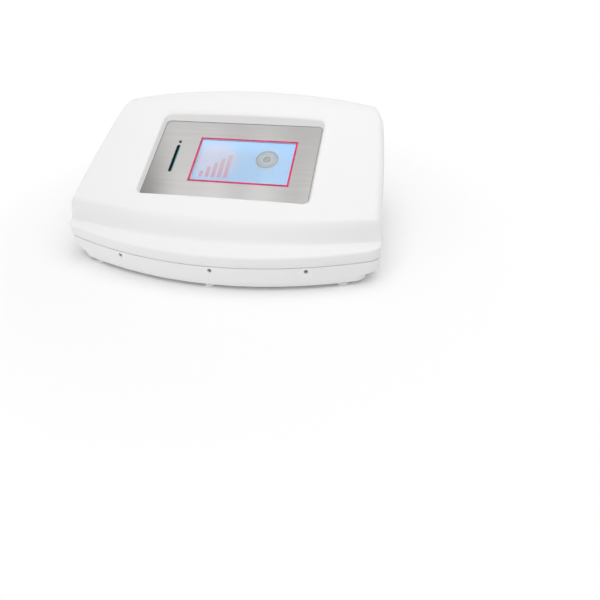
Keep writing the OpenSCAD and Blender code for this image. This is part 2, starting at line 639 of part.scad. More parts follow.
module at_fan_holes() for (p = fan_hole_at) translate([p.x, 0, p.y]) children();
module rear_panel() color(white) framed() difference() {
    translate([-rear_half, rear_in, rear_bottom]) cube([2*rear_half, rear_t, rear_top - rear_bottom]);
    for (x = port_x) translate([x - shroud_w/2 + 3 - fit, rear_in - 1, port_z - shroud_h/2 + 3 - fit])
        cube([shroud_w - 6 + 2*fit, rear_t + 2, shroud_h - 6 + 2*fit]);
    translate([fan_x, 0, fan_z]) {
        along_y(rear_in - 1, 0) cylinder(r = fan_side/2 - 2.5, h = rear_t + 2);
        at_fan_holes() along_y(rear_in - 1, 0) cylinder(r = 1.75, h = rear_t + 2);
    }
    translate([inlet_x - inlet_w/2 - fit, rear_in - 1, inlet_z - inlet_h/2 - fit])
        cube([inlet_w + 2*fit, rear_t + 2, inlet_h + 2*fit]);
    translate([switch_x - switch_w/2 - fit, rear_in - 1, switch_z - switch_h/2 - fit])
        cube([switch_w + 2*fit, rear_t + 2, switch_h + 2*fit]);
}

socket_out = 8;
socket_in = 8;
mouth_w = shroud_w - 10;
mouth_h = shroud_h - 10;
module at_nozzles() for (p = nozzle_at) translate([p.x, 0, p.y]) children();
module air_socket(x) translate([x, 0, port_z]) {
    difference() {
        union() {
            // Flange against the panel, collar in front of it and body behind
            translate([-shroud_w/2, rear_out, -shroud_h/2]) cube([shroud_w, 3, shroud_h]);
            translate([-shroud_w/2 + 3, rear_out - socket_in - 2, -shroud_h/2 + 3])
                cube([shroud_w - 6, socket_in + 2 + socket_out, shroud_h - 6]);
            at_nozzles() along_y(rear_out - socket_in - 11, 0) cylinder(d = nozzle_dia - 1, h = 10);
        }
        translate([-mouth_w/2, rear_out - socket_in, -mouth_h/2])
            cube([mouth_w, socket_in + socket_out + 1, mouth_h]);
        at_nozzles() along_y(rear_out - 30, 0) cylinder(d = nozzle_bore - 0.6, h = 40);
    }
    at_nozzles() difference() {
        along_y(rear_out - socket_in - eps, 0) cylinder(d = nozzle_dia, h = socket_in + 3);
        along_y(rear_out - socket_in - 1, 0) cylinder(d = nozzle_bore, h = socket_in + 5);
    }
}
module air_socket_left() color(dark) framed() air_socket(port_x[0]);
module air_socket_right() color(dark) framed() air_socket(port_x[1]);

inlet_flange = 2.5;
cavity_w = 24.4;
cavity_h = 16.4;
cavity_z = 5;
pin_at = [[-7, -2], [7, -2], [0, 2]];
drawer_w = 21;
drawer_h = 7;
drawer_z = -10.4;
drawer_l = 19.5;
tab_l = 30;
module inlet_outline() polygon([[-cavity_w/2, -cavity_h/2], [cavity_w/2, -cavity_h/2],
    [cavity_w/2, cavity_h/2 - 4.4], [cavity_w/2 - 4.4, cavity_h/2], [-cavity_w/2 + 4.4, cavity_h/2],
    [-cavity_w/2, cavity_h/2 - 4.4]]);
module power_inlet() color(dark) framed() translate([inlet_x, rear_out, inlet_z]) difference() {
    union() {
        translate([-inlet_w/2 - 2, 0, -inlet_h/2 - 2]) cube([inlet_w + 4, inlet_flange, inlet_h + 4]);
        translate([-inlet_w/2, -22, -inlet_h/2]) cube([inlet_w, 22 + eps, inlet_h]);
    }
    translate([0, inlet_flange + 1, cavity_z]) rotate([90, 0, 0]) linear_extrude(17) inlet_outline();
    for (p = pin_at) translate([p.x - 1 - fit, -tab_l, cavity_z + p.y - 2 - fit])
        cube([2 + 2*fit, 20, 4 + 2*fit]);
    translate([-drawer_w/2 - 0.2, inlet_flange - drawer_l - 0.3, drawer_z - drawer_h/2 - 0.2])
        cube([drawer_w + 0.4, 30, drawer_h + 0.4]);
}

module inlet_pins() color(zinc) framed() translate([inlet_x, rear_out, inlet_z + cavity_z])
    for (p = pin_at) translate([p.x - 1, -tab_l, p.y - 2]) cube([2, tab_l + inlet_flange - 3, 4]);

fuse_r = 2.6;
fuse_y = -11;
module fuse_drawer() color(dark) framed()
    translate([inlet_x, rear_out + inlet_flange, inlet_z + drawer_z]) difference() {
        union() {
            translate([-drawer_w/2, -drawer_l, -drawer_h/2]) cube([drawer_w, drawer_l + 0.5, drawer_h]);
            translate([-4, 0.4, -1]) cube([8, 0.8, 2]);
        }
        // Trough for the fuse, open at the top
        translate([-8, 2 - drawer_l, -0.6]) cube([16, 15, drawer_h]);
        translate([-10.15, fuse_y, 0.2]) rotate([0, 90, 0]) cylinder(r = fuse_r + fit, h = 20.3);
        translate([-10.15, fuse_y - fuse_r - fit, 0]) cube([20.3, 2*(fuse_r + fit), drawer_h]);
    }

module fuse() color(clear_grey) framed()
    translate([inlet_x, rear_out + inlet_flange + fuse_y, inlet_z + drawer_z + 0.2]) rotate([0, 90, 0]) {
        translate([0, 0, -10]) cylinder(r = fuse_r, h = 5);
        translate([0, 0, -6]) cylinder(r = fuse_r - 0.4, h = 12);
        translate([0, 0, 5]) cylinder(r = fuse_r, h = 5);
    }

rocker_half = rocker_throw/2;
pivot_in = 4.5;
module switch_body() color(dark) framed() translate([switch_x, rear_out, switch_z]) difference() {
    union() {
        translate([-switch_w/2 - 1.2, 0, -switch_h/2 - 1.2]) cube([switch_w + 2.4, 1.6, switch_h + 2.4]);
        translate([-switch_w/2, -16, -switch_h/2]) cube([switch_w, 16 + eps, switch_h]);
        for (z = [-6, 0, 6]) translate([-2.4, -24, z - 0.4]) cube([4.8, 8 + eps, 0.8]);
    }
    translate([-switch_w/2 + 1.4, -11, -switch_h/2 + 1.2]) cube([switch_w - 2.8, 20, switch_h - 2.4]);
    translate([0, -pivot_in, 0]) rotate([0, 90, 0]) cylinder(r = 1 + fit/2, h = switch_w, center = true);
}

// Rocker: a shallow V across the top, tilted by half its throw, bored for its pivot
module switch_rocker() color([0.08, 0.08, 0.09]) framed() translate([switch_x, rear_out - pivot_in, switch_z])
    rotate([-rocker_half, 0, 0]) rotate([90, 0, 90]) difference() {
        translate([0, 0, 1.8 - switch_w/2]) linear_extrude(switch_w - 3.6)
            polygon([[-3.4, 2], [-1.6, 6.9], [6.9, 6.9], [5.6, 0], [6.9, -6.9], [-1.6, -6.9], [-3.4, -2]]);
        translate([0, 0, -switch_w]) cylinder(r = 1 + fit/2, h = 2*switch_w);
    }

module rocker_pivot() color(zinc) framed() translate([switch_x, rear_out - pivot_in, switch_z])
    rotate([0, 90, 0]) cylinder(r = 1, h = switch_w - 0.6, center = true);

fan_y = rear_in - fan_t - 0.1;
hub_r = 11.5;
module fan_frame() color(dark) framed() translate([fan_x, fan_y, fan_z]) {
    difference() {
        translate([-fan_side/2, 0, -fan_side/2]) cube([fan_side, fan_t, fan_side]);
        along_y(-1, 0) cylinder(r = fan_side/2 - 1.5, h = fan_t + 2);
        at_fan_holes() along_y(-1, 0) cylinder(r = 1.5 + fit, h = fan_t + 2);
    }
    // Spider that holds the hub's bearing
    along_y(0, 0) cylinder(r = hub_r - 0.5, h = 1.6);
    for (a = [45:90:315]) rotate([0, a, 0]) translate([hub_r - 1.5, 0, -1.5])
        cube([fan_side/2 - hub_r + 0.5, 1.6, 3]);
    along_y(1.5, 0) cylinder(r = 1.5, h = 6);
}

blade_n = 7;
module fan_rotor() color([0.2, 0.2, 0.21]) framed() translate([fan_x, fan_y, fan_z]) {
    difference() {
        along_y(2.2, 0) cylinder(r = hub_r, h = fan_t - 4);
        along_y(1.5, 0) cylinder(r = 1.55, h = 6.6);
    }
    intersection() {
        for (k = [0:blade_n - 1]) rotate([0, k*360/blade_n, 0]) translate([hub_r - 0.5, fan_t/2, 0])
            rotate([38, 0, 0]) translate([-2, -0.7, -8]) cube([fan_side/2, 1.4, 16]);
        difference() {
            along_y(2.6, 0) cylinder(r = fan_side/2 - 3, h = fan_t - 5);
            along_y(0, 0) cylinder(r = hub_r - 0.5, h = fan_t);
        }
    }
}

guard_t = 1.2;
module fan_guard() color(zinc) framed() translate([fan_x, rear_out, fan_z]) {
    for (r = [7:5:22]) difference() {
        along_y(0, 0) cylinder(r = r + 0.8, h = guard_t);
        along_y(-1, 0) cylinder(r = r - 0.8, h = guard_t + 2);
    }
    for (a = [0, 90]) rotate([0, a, 0]) translate([-fan_side/2 + 3, 0, -0.9])
        cube([fan_side - 6, guard_t, 1.8]);
    for (a = [45:90:315]) rotate([0, a, 0]) difference() {
        translate([16, 0, -3]) cube([fan_side*0.707 - 18.5, guard_t, 6]);
        translate([(fan_side/2 - 5)*sqrt(2), 0, 0]) along_y(-1, 0) cylinder(r = 1.5 + fit, h = guard_t + 2);
    }
}

module fan_screws() color(zinc) framed() translate([fan_x, 0, fan_z]) at_fan_holes() {
    along_y(rear_out + guard_t, 0) cylinder(r = 2.7, h = 1.8);
    along_y(fan_y - 2.9, 0) cylinder(r = 1.5, h = fan_t + rear_t + guard_t + 3.1);
    along_y(fan_y - 2.5, 0) cylinder(r = 3, h = 2.4, $fn = 6);
}

// ---------- air pump ----------

mount_h = pump_base - floor_z - 0.1;
module pump_mounts() color(dark) framed() at_each(pump_feet) translate([0, 0, floor_z]) rotate_extrude()
    polygon([[0, 2.1], [6, 2.1], [4.4, 6], [6, mount_h], [2.5, mount_h], [2.5, mount_h + 2.7],
        [0, mount_h + 2.7]]);

module pump_bracket() color(zinc) framed() difference() {
    union() {
        translate([pump_x0, pump_y - 42, pump_base]) cube([pump_w + 2, 84, 2]);
        // Saddle ribs under the motor
        for (x = [pump_x0 + 8, pump_x0 + motor_l - 14]) translate([x, pump_y - 20, pump_base + 2 - eps])
            cube([3, 40, pump_z - pump_base - 8]);
    }
    translate([pump_x0 - 5, pump_y, pump_z]) rotate([0, 90, 0])
        cylinder(d = motor_dia + 0.4, h = motor_l + 12);
    at_each(pump_feet) translate([0, 0, pump_base - 1]) cylinder(r = 2.6, h = 4);
}

module pump_motor() color(zinc) framed() translate([pump_x0, pump_y, pump_z]) rotate([0, 90, 0]) {
    // Turned can with its end bell and bearing boss
    rotate_extrude() polygon([[0, -4], [8, -4], [8, 0], [motor_dia/2 - 3, 0], [motor_dia/2, 3],
        [motor_dia/2, motor_l - 0.1], [0, motor_l - 0.1]]);
}

crank_x = pump_x0 + motor_l;
crank_w = 52;
crank_h = 48;
crank_z = pump_base + 2.1;
module pump_crankcase() color([0.6, 0.61, 0.62]) framed() translate([crank_x, pump_y, 0]) {
    difference() {
        union() {
            translate([0, -crank_h/2, crank_z]) cube([crank_w, crank_h, pump_z + crank_h/2 - crank_z]);
            translate([0, -crank_h/2 - 6, crank_z]) cube([crank_w, crank_h + 12, 5]);
        }
        // Cooling grooves in the end wall
        for (z = [-16:6.4:16]) translate([crank_w - 3, -crank_h/2 + 5, pump_z + z - 1.4])
            cube([6, crank_h - 10, 2.8]);
    }
    translate([crank_w, 0, pump_z]) rotate([0, 90, 0]) translate([0, 0, -3 - eps]) cylinder(r = 9, h = 5);
}

head_len = 17;
supply_y = (manifold_y[0] + manifold_y[1])/2;
collector_h = port_z - pump_z - crank_h/2 + 6;
module pump_heads() color(zinc) framed() translate([crank_x + crank_w/2, pump_y, pump_z]) {
    for (s = [0, 1]) mirror([0, s, 0]) {
        // A finned head on each side of the crankcase
        translate([-19, crank_h/2 + 0.1, -19]) cube([38, 4, 38]);
        for (k = [0:3]) translate([-18, crank_h/2 + 4 + 3*k, -18]) cube([36, 1.6, 36]);
        along_y(crank_h/2 + 4, 0) cylinder(r = 12, h = head_len - 4);
    }
    // Outlet collector on top, with its hose tail
    translate([-12, supply_y - pump_y - 9, crank_h/2 + 0.1]) cube([24, 18, collector_h]);
    translate([-22, supply_y - pump_y, port_z - pump_z]) rotate([0, 90, 0]) cylinder(r = 3, h = 10 + eps);
}

supply_x = manifold_x[1] + 2;
supply_l = crank_x + crank_w/2 - 13 - supply_x;
module supply_hose() color(clear_grey) framed() translate([supply_x, supply_y, port_z]) rotate([0, 90, 0])
    difference() {
        cylinder(r = 5, h = supply_l);
        translate([0, 0, -1]) cylinder(r = 3 + fit/2, h = supply_l + 2);
    }

// ---------- valves ----------

bracket_z = port_z - manifold_h/2 - 1.6;
module manifold_bracket() color(zinc) framed() difference() {
    union() {
        translate([manifold_x[0], manifold_y[0], bracket_z]) cube([manifold_l, manifold_d, 1.5]);
        at_each(bracket_feet) translate([0, -12, floor_z + 4.1]) {
            translate([-1, 0, 0]) cube([2, 24, bracket_z - floor_z - 3.4]);
            translate([-7, 0, 0]) cube([14, 24, 2]);
        }
    }
    at_each(bracket_feet) translate([0, 0, floor_z]) cylinder(r = 1.5 + fit, h = 5.8);
}

valve_pitch = 17.4;
valve_rows = [8.5, manifold_d - 8.5];
valve_at = [for (x = port_x) for (k = [-1, 0, 1]) for (y = valve_rows)
    [x + valve_pitch*k, manifold_y[0] + y]];
module valve_manifold() color(clear_grey) framed() difference() {
    union() {
        translate([manifold_x[0], manifold_y[0], port_z - manifold_h/2])
            cube([manifold_l, manifold_d, manifold_h]);
        translate([manifold_x[1] - eps, supply_y, port_z]) rotate([0, 90, 0]) cylinder(r = 3, h = 12);
        for (x = port_x) translate([x, 0, port_z]) at_nozzles() along_y(manifold_y[1] - eps, 0)
            cylinder(d = nozzle_dia - 1, h = 9);
    }
    // Gallery along the block, and the outlets
    translate([manifold_x[0] + 6, supply_y, port_z]) rotate([0, 90, 0]) cylinder(r = 2, h = manifold_l + 20);
    for (x = port_x) translate([x, 0, port_z]) at_nozzles() along_y(manifold_y[1] - 8, 0)
        cylinder(r = 1, h = 20);
}

valve_h = 27;
module solenoid_valves() color([0.16, 0.16, 0.2]) framed() at_each(valve_at)
    translate([0, 0, port_z + manifold_h/2 + 0.1]) {
        translate([-7.6, -6.8, 0]) cube([15.2, 13.6, 5]);
        translate([0, 0, 5 - eps]) cylinder(r = 6.4, h = valve_h - 9);
        translate([-7.6, -5, valve_h - 4 - 2*eps]) cube([15.2, 10, 1.6]);
        translate([0, 0, valve_h - 2.5]) cylinder(r = 2.4, h = 2.5);
    }

hose_r = nozzle_dia/2 - 0.5 + fit/2;
hose_wall = 1;
hose_y = manifold_y[1] + 1;
hose_l = rear_out - socket_in - 3 - hose_y;
module outlet_hoses() color(clear_grey) framed() for (x = port_x) translate([x, 0, port_z]) at_nozzles()
    difference() {
        along_y(hose_y, 0) cylinder(r = hose_r + hose_wall, h = hose_l);
        along_y(hose_y - 1, 0) cylinder(r = hose_r, h = hose_l + 2);
    }

// ---------- electronics ----------

module main_board() color(board_green) framed() difference() {
    translate([main_at.x, main_at.y, board_z]) cube([main_size.x, main_size.y, board_t]);
    at_each(board_holes(main_at, main_size)) translate([0, 0, board_z - 1])
        cylinder(r = 1.5 + fit, h = board_t + 2);
}

module board_parts() framed() translate([main_at.x, main_at.y, board_z + board_t + 0.05]) {
    color(dark) {
        translate([44, 40, 0]) cube([18, 18, 2]);
        translate([74, 20, 0]) cube([12, 8, 2]);
        for (k = [0:5]) translate([20 + 15*k, 80, 0]) cube([10, 9, 6]);
        translate([24, 20, 0]) cylinder(r = 6, h = 8);
    }
    color(white) translate([ribbon_x - main_at.x - 2, 70, 0]) cube([ribbon_w + 4, 6, 6]);
    color(zinc) for (k = [0:2]) translate([92 + 13*k, 14, 0]) cylinder(r = 5, h = 14);
    // Pressure sensor with its nozzle
    color(clear_grey) {
        translate([18, 50, 0]) cube([14, 14, 5]);
        translate([25, 57, 5 - eps]) cylinder(r = 2, h = 6);
    }
}

module board_screw() {
    translate([0, 0, board_z + board_t]) cylinder(r = 2.7, h = 1.8);
    translate([0, 0, floor_z + 1.5]) cylinder(r = 1.5, h = board_z + board_t - floor_z - 1.4);
}
module board_screws() color(zinc) framed() at_each(board_holes(main_at, main_size)) board_screw();
module supply_screws() color(zinc) framed() at_each(board_holes(supply_at, supply_size)) board_screw();

block_y = supply_at.y + supply_size.y + 4;
module power_supply() framed() translate([supply_at.x, supply_at.y, board_z]) {
    color([0.62, 0.5, 0.3]) difference() {
        cube([supply_size.x, supply_size.y, board_t]);
        at_each(board_holes([0, 0], supply_size)) translate([0, 0, -1])
            cylinder(r = 1.5 + fit, h = board_t + 2);
    }
    color(dark) for (k = [0:2]) translate([26 + 17*k, 22, board_t - eps]) cylinder(r = 6.5, h = 24);
    color(dark) translate([104, 46, board_t - eps]) cube([14, 18, 14]);
    // Terminal block that overhangs the rear edge
    color(white) translate([inlet_x - supply_at.x - 12, supply_size.y - 6, board_t - eps]) cube([24, 14, 10]);
}

transformer_at = [supply_at.x + 18, supply_at.y + 44];
module transformer() framed() translate([transformer_at.x, transformer_at.y, board_z + board_t + 0.05]) {
    color([0.35, 0.34, 0.33]) difference() {
        cube([36, 34, 26]);
        translate([7, -1, 6]) cube([22, 36, 14]);
    }
    color([0.75, 0.6, 0.2]) translate([7.2, 1, 6.2]) cube([21.6, 32, 13.6]);
}

sink_at = [supply_at.x + 66, supply_at.y + 50];
sink_side = 30;
module heat_sink() color(zinc) framed() translate([sink_at.x, sink_at.y, board_z + board_t + 0.05]) {
    cube([sink_side, sink_side, 3]);
    for (k = [0:5]) translate([5.6*k, 0, 3 - eps]) cube([2, sink_side, 20]);
}

lead_dia = 3;
lead_z = floor_z + 4;
lead_bend_r = board_z + board_t - lead_z - 0.1;
lead_y = rear_out - tab_l - lead_dia/2 - 0.2;
lead_top = inlet_z + cavity_z - 2;
module lead_bend() rotate_extrude(angle = 90) translate([lead_bend_r, 0]) circle(d = lead_dia);
// Leads from the inlet's tabs, under the pump and up to the supply board's block
module mains_leads() color(cable_grey) framed() for (s = [-1, 1]) translate([inlet_x + 7*s, 0, lead_z]) {
    translate([0, lead_y, lead_bend_r]) cylinder(d = lead_dia, h = lead_top - lead_z - lead_bend_r);
    translate([0, lead_y - lead_bend_r, lead_bend_r]) rotate([0, -90, 0]) rotate([0, 0, 90]) lead_bend();
    along_y(block_y + lead_bend_r, 0) cylinder(d = lead_dia, h = lead_y - block_y - 2*lead_bend_r);
    translate([0, block_y + lead_bend_r, lead_bend_r]) rotate([0, -90, 0]) rotate([0, 0, 180]) lead_bend();
}

base_tray();
top_cover();
feet();
front_screws();
rear_screws();
control_panel();
panel_screws();
screen_border();
touch_glass();
lcd_module();
display_posts();
display_board();
status_led();
card_reader();
ribbon_cable();
rear_panel();
air_socket_left();
air_socket_right();
power_inlet();
inlet_pins();
fuse_drawer();
fuse();
switch_body();
switch_rocker();
rocker_pivot();
fan_frame();
fan_rotor();
fan_guard();
fan_screws();
pump_mounts();
pump_bracket();
pump_motor();
pump_crankcase();
pump_heads();
manifold_bracket();
valve_manifold();
solenoid_valves();
outlet_hoses();
supply_hose();
main_board();
board_parts();
board_screws();
power_supply();
transformer();
heat_sink();
supply_screws();
mains_leads();
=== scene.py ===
# %% [markdown]
# # A desktop air pump for compression therapy
# A white two-shell console with a steel control panel let into its sloping top. The solids are
# already packed as a fixed frame. This lesson loads them, sets the camera and the light, draws the
# cover again as a fine smooth skin, and gives every piece the finish of its real material.

# %% Load the frame
import math

import bmesh
import bpy
import numpy as np
from mathutils import Matrix, Vector


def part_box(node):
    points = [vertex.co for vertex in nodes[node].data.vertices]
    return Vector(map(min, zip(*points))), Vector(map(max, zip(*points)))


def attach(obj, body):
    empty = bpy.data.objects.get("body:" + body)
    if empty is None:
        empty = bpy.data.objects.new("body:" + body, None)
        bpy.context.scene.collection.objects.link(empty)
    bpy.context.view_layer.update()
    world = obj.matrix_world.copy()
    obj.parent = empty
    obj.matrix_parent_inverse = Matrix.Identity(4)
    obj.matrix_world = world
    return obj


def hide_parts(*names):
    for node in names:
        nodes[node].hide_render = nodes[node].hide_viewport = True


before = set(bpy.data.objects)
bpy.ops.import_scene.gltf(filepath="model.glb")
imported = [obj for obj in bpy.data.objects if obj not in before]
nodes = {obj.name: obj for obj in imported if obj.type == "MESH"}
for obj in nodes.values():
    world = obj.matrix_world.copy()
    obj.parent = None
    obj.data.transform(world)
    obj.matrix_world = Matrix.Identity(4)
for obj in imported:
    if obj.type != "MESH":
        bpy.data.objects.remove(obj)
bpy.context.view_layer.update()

# %% [markdown]
# ## The camera
# The photograph looks down at the console from the front and a little from the right. A camera is
# placed by three things: where it stands, which way it looks, and how far it is turned about its own
# line of sight. All three were worked out from the corners of the steel panel, the case screws and
# the long curves of the casing, so here they are simply written down.

# %% Camera
BODY_D = 342.0
STAND = (261.8, -568.5, 464.5)
TURN_DEG, DIP_DEG, ROLL_DEG = 12.4, 38.9, -2.1
LENS_MM, SENSOR_MM = 31.11, 36


def spot(x, y, z):
    """A point in metres from millimetres, with y counted from the bowed front edge."""
    return Vector((x, y - BODY_D/2, z))/1000


turn, dip, roll = (math.radians(v) for v in (TURN_DEG, DIP_DEG, ROLL_DEG))
forward = Vector((-math.sin(turn)*math.cos(dip), math.cos(turn)*math.cos(dip), -math.sin(dip)))
level = Vector((math.cos(turn), math.sin(turn), 0))
upright = level.cross(forward)
right = level*math.cos(roll) + upright*math.sin(roll)
up = upright*math.cos(roll) - level*math.sin(roll)
camera_data = bpy.data.cameras.new("camera")
camera_data.sensor_width = SENSOR_MM
camera_data.lens = LENS_MM
camera_data.clip_start, camera_data.clip_end = 0.01, 50
camera = bpy.data.objects.new("camera", camera_data)
camera.matrix_world = Matrix.Translation(spot(*STAND)) @ Matrix(
    (right, up, -forward)).transposed().to_4x4()
bpy.context.scene.collection.objects.link(camera)
bpy.context.scene.camera = camera
bpy.context.scene.view_settings.view_transform = "Standard"
print("camera stands at", [round(v, 3) for v in camera.location])

# %% [markdown]
# ## Colours and nodes
# A screen colour is written as a hex value, but Blender mixes light in linear numbers. One function
# turns the one into the other. A material is a small graph of nodes, and one more function adds a
# node, sets its values and plugs its wires, so that every graph below reads from top to bottom.

# %% Two helpers for materials
def linear(code):
    """Linear red, green, blue and alpha from a hex colour such as #EDEDEE."""
    parts = [int(code[k:k + 2], 16)/255 for k in (1, 3, 5)]
    return [c/12.92 if c <= 0.04045 else ((c + 0.055)/1.055)**2.4 for c in parts] + [1.0]


def add(tree, kind, wires=None, values=None, **settings):
    """Adds a node of that kind, with its settings, input values and wires."""
    node = tree.nodes.new(kind)
    for name, value in settings.items():
        setattr(node, name, value)
    for name, value in (values or {}).items():
        node.inputs[name].default_value = value
    for name, socket in (wires or {}).items():
        tree.links.new(socket, node.inputs[name])
    return node


def new_material(name):
    """An empty material with its output, and its tree."""
    material = bpy.data.materials.new(name)
    material.use_nodes = True
    material.node_tree.nodes.clear()
    return material, material.node_tree, add(material.node_tree, "ShaderNodeOutputMaterial")


print("white casing in linear light:", [round(v, 3) for v in linear("#EDEDEE")[:3]])

# %% [markdown]
# ## Floor and light
# A catalogue photograph like this one is taken on a white sweep under big soft boxes. A textured
# backdrop photo would be one way to get that light. Here a pale floor that is wide enough to fill the
# view does it, with one large soft lamp overhead and a weaker one low in front. Near the object the
# floor is matt board that keeps the shadow. Further out the camera sees it as plain white, by the
# Light Path node, so no extra light falls on the object for the background's sake.

# %% Floor
FLOOR_HALF = 6.0
SHADOW_ENDS, PLAIN_FROM = 0.26, 0.52


def pale_floor():
    """A wide plane of matt white board, plain white for the camera beyond half a metre."""
    mesh = bpy.data.meshes.new("floor")
    half = FLOOR_HALF
    corners = [(-half, -half, 0), (half, -half, 0), (half, half, 0), (-half, half, 0)]
    mesh.from_pydata(corners, [], [(0, 1, 2, 3)])
    floor = bpy.data.objects.new("floor", mesh)
    bpy.context.scene.collection.objects.link(floor)
    material, tree, out = new_material("matt_white_board")
    place = add(tree, "ShaderNodeTexCoord")
    grain = add(tree, "ShaderNodeTexNoise", {"Vector": place.outputs["Object"]},
                {"Scale": 900, "Detail": 2})
    bump = add(tree, "ShaderNodeBump", {"Height": grain.outputs["Fac"]},
               {"Strength": 0.04, "Distance": 0.0002})
    board = add(tree, "ShaderNodeBsdfPrincipled", {"Normal": bump.outputs["Normal"]},
                {"Base Color": linear("#F1F1F1"), "Roughness": 0.9, "IOR": 1.45,
                 "Specular IOR Level": 0.2})
    white = add(tree, "ShaderNodeEmission", None, {"Color": (1, 1, 1, 1), "Strength": 1.0})
    path = add(tree, "ShaderNodeLightPath")
    far = add(tree, "ShaderNodeVectorMath", {0: place.outputs["Object"]}, operation="LENGTH")
    edge = add(tree, "ShaderNodeMapRange", {"Value": far.outputs["Value"]},
               {"From Min": SHADOW_ENDS, "From Max": PLAIN_FROM}, interpolation_type="SMOOTHSTEP")
    seen = add(tree, "ShaderNodeMath", {0: edge.outputs[0], 1: path.outputs["Is Camera Ray"]},
               operation="MULTIPLY")
    sweep = add(tree, "ShaderNodeMixShader",
                {0: seen.outputs[0], 1: board.outputs[0], 2: white.outputs[0]})
    tree.links.new(sweep.outputs[0], out.inputs["Surface"])
    mesh.materials.append(material)
    return floor


floor = pale_floor()
print("floor:", floor.name)

# %% [markdown]
# ## The world
# The world has three answers. The eye and glass see white. Diffuse surfaces get an even fill. Gloss
# sees upright bars of light, as from windows and soft boxes side by side, because brushed steel under
# a plain white sky would look like grey paint. Two ramps give the bars, one for what is low behind
# the object and one for what is higher, and each stop is a place from left to right and a brightness.

# %% World
LOW_PANE = ((0.0, 0.2), (0.08, 0.65), (0.16, 0.87), (0.3, 0.82), (0.41, 1.0), (0.56, 0.74), (0.71, 1.0),
            (0.92, 0.64), (1.0, 0.82))
HIGH_PANE = ((0.0, 0.75), (0.3, 0.68), (0.5, 0.6), (0.7, 0.64), (1.0, 0.58))
PANE_LEFT, PANE_RIGHT, PANE_LOW, PANE_HIGH = -0.51, -0.18, 0.31, 0.43
FILL_LEVEL, GLOSS_LEVEL = 0.70, 1.2


def studio_world():
    """White for the eye and glass, panes of light for gloss, an even fill for the rest."""
    world = bpy.data.worlds.new("studio")
    bpy.context.scene.world = world
    world.use_nodes = True
    tree = world.node_tree
    tree.nodes.clear()
    out = add(tree, "ShaderNodeOutputWorld")
    path = add(tree, "ShaderNodeLightPath")
    way = add(tree, "ShaderNodeTexCoord")
    part = add(tree, "ShaderNodeSeparateXYZ", {"Vector": way.outputs["Generated"]})
    height = add(tree, "ShaderNodeMath", {0: part.outputs["Z"]}, {1: 0.05}, operation="MAXIMUM")
    aside = add(tree, "ShaderNodeMath", {0: part.outputs["X"], 1: height.outputs[0]},
                operation="DIVIDE")
    behind = add(tree, "ShaderNodeMath", {0: part.outputs["Y"], 1: height.outputs[0]},
                 operation="DIVIDE")
    across = add(tree, "ShaderNodeMapRange", {"Value": aside.outputs[0]},
                 {"From Min": PANE_LEFT, "From Max": PANE_RIGHT})
    panes = []
    for stops in (LOW_PANE, HIGH_PANE):
        pane = add(tree, "ShaderNodeValToRGB", {"Fac": across.outputs[0]})
        for place, level in stops[1:-1]:
            pane.color_ramp.elements.new(place)
        for stop, (place, level) in zip(pane.color_ramp.elements, stops):
            stop.position, stop.color = place, (level, level, level, 1)
        panes.append(pane)
    rising = add(tree, "ShaderNodeMapRange", {"Value": behind.outputs[0]},
                 {"From Min": PANE_LOW, "From Max": PANE_HIGH})
    mirrored = add(tree, "ShaderNodeMix",
                   {"Factor": rising.outputs[0], "A": panes[0].outputs["Color"],
                                           "B": panes[1].outputs["Color"]}, None, data_type="RGBA")
    fill = add(tree, "ShaderNodeBackground", None, {"Color": (1, 1, 1, 1), "Strength": FILL_LEVEL})
    seen = add(tree, "ShaderNodeBackground", None, {"Color": (1, 1, 1, 1), "Strength": 1.0})
    gloss = add(tree, "ShaderNodeBackground", {"Color": mirrored.outputs["Result"]},
                {"Strength": GLOSS_LEVEL})
    shiny = add(tree, "ShaderNodeMixShader", {0: path.outputs["Is Glossy Ray"], 1: fill.outputs[0],
                                              2: gloss.outputs[0]})
    plain = add(tree, "ShaderNodeMath", {0: path.outputs["Is Camera Ray"],
                                         1: path.outputs["Is Transmission Ray"]}, operation="MAXIMUM")
    both = add(tree, "ShaderNodeMixShader",
               {0: plain.outputs[0], 1: shiny.outputs[0], 2: seen.outputs[0]})
    tree.links.new(both.outputs[0], out.inputs["Surface"])


studio_world()
print("world:", bpy.context.scene.world.name, "with", len(LOW_PANE), "and", len(HIGH_PANE), "stops")

# %% Lamps
def soft_box(name, place, aim, size, power):
    """A large square lamp that points at a place."""
    lamp = bpy.data.lights.new(name, "AREA")
    lamp.shape = "RECTANGLE"
    lamp.size, lamp.size_y = size
    lamp.energy = power
    box = bpy.data.objects.new(name, lamp)
    box.location = place
    box.rotation_euler = (Vector(aim) - Vector(place)).to_track_quat("-Z", "Y").to_euler()
    box.visible_glossy = False
    bpy.context.scene.collection.objects.link(box)
    print(name, "gives", power, "W over", size, "m")


soft_box("soft_box_overhead", (0.25, -0.05, 1.4), (0, 0, 0.05), (1.4, 1.4), 10.3)
soft_box("low_fill_in_front", (-1.3, -1.8, 0.5), (0, 0, 0.05), (1.2, 0.6), 8.5)
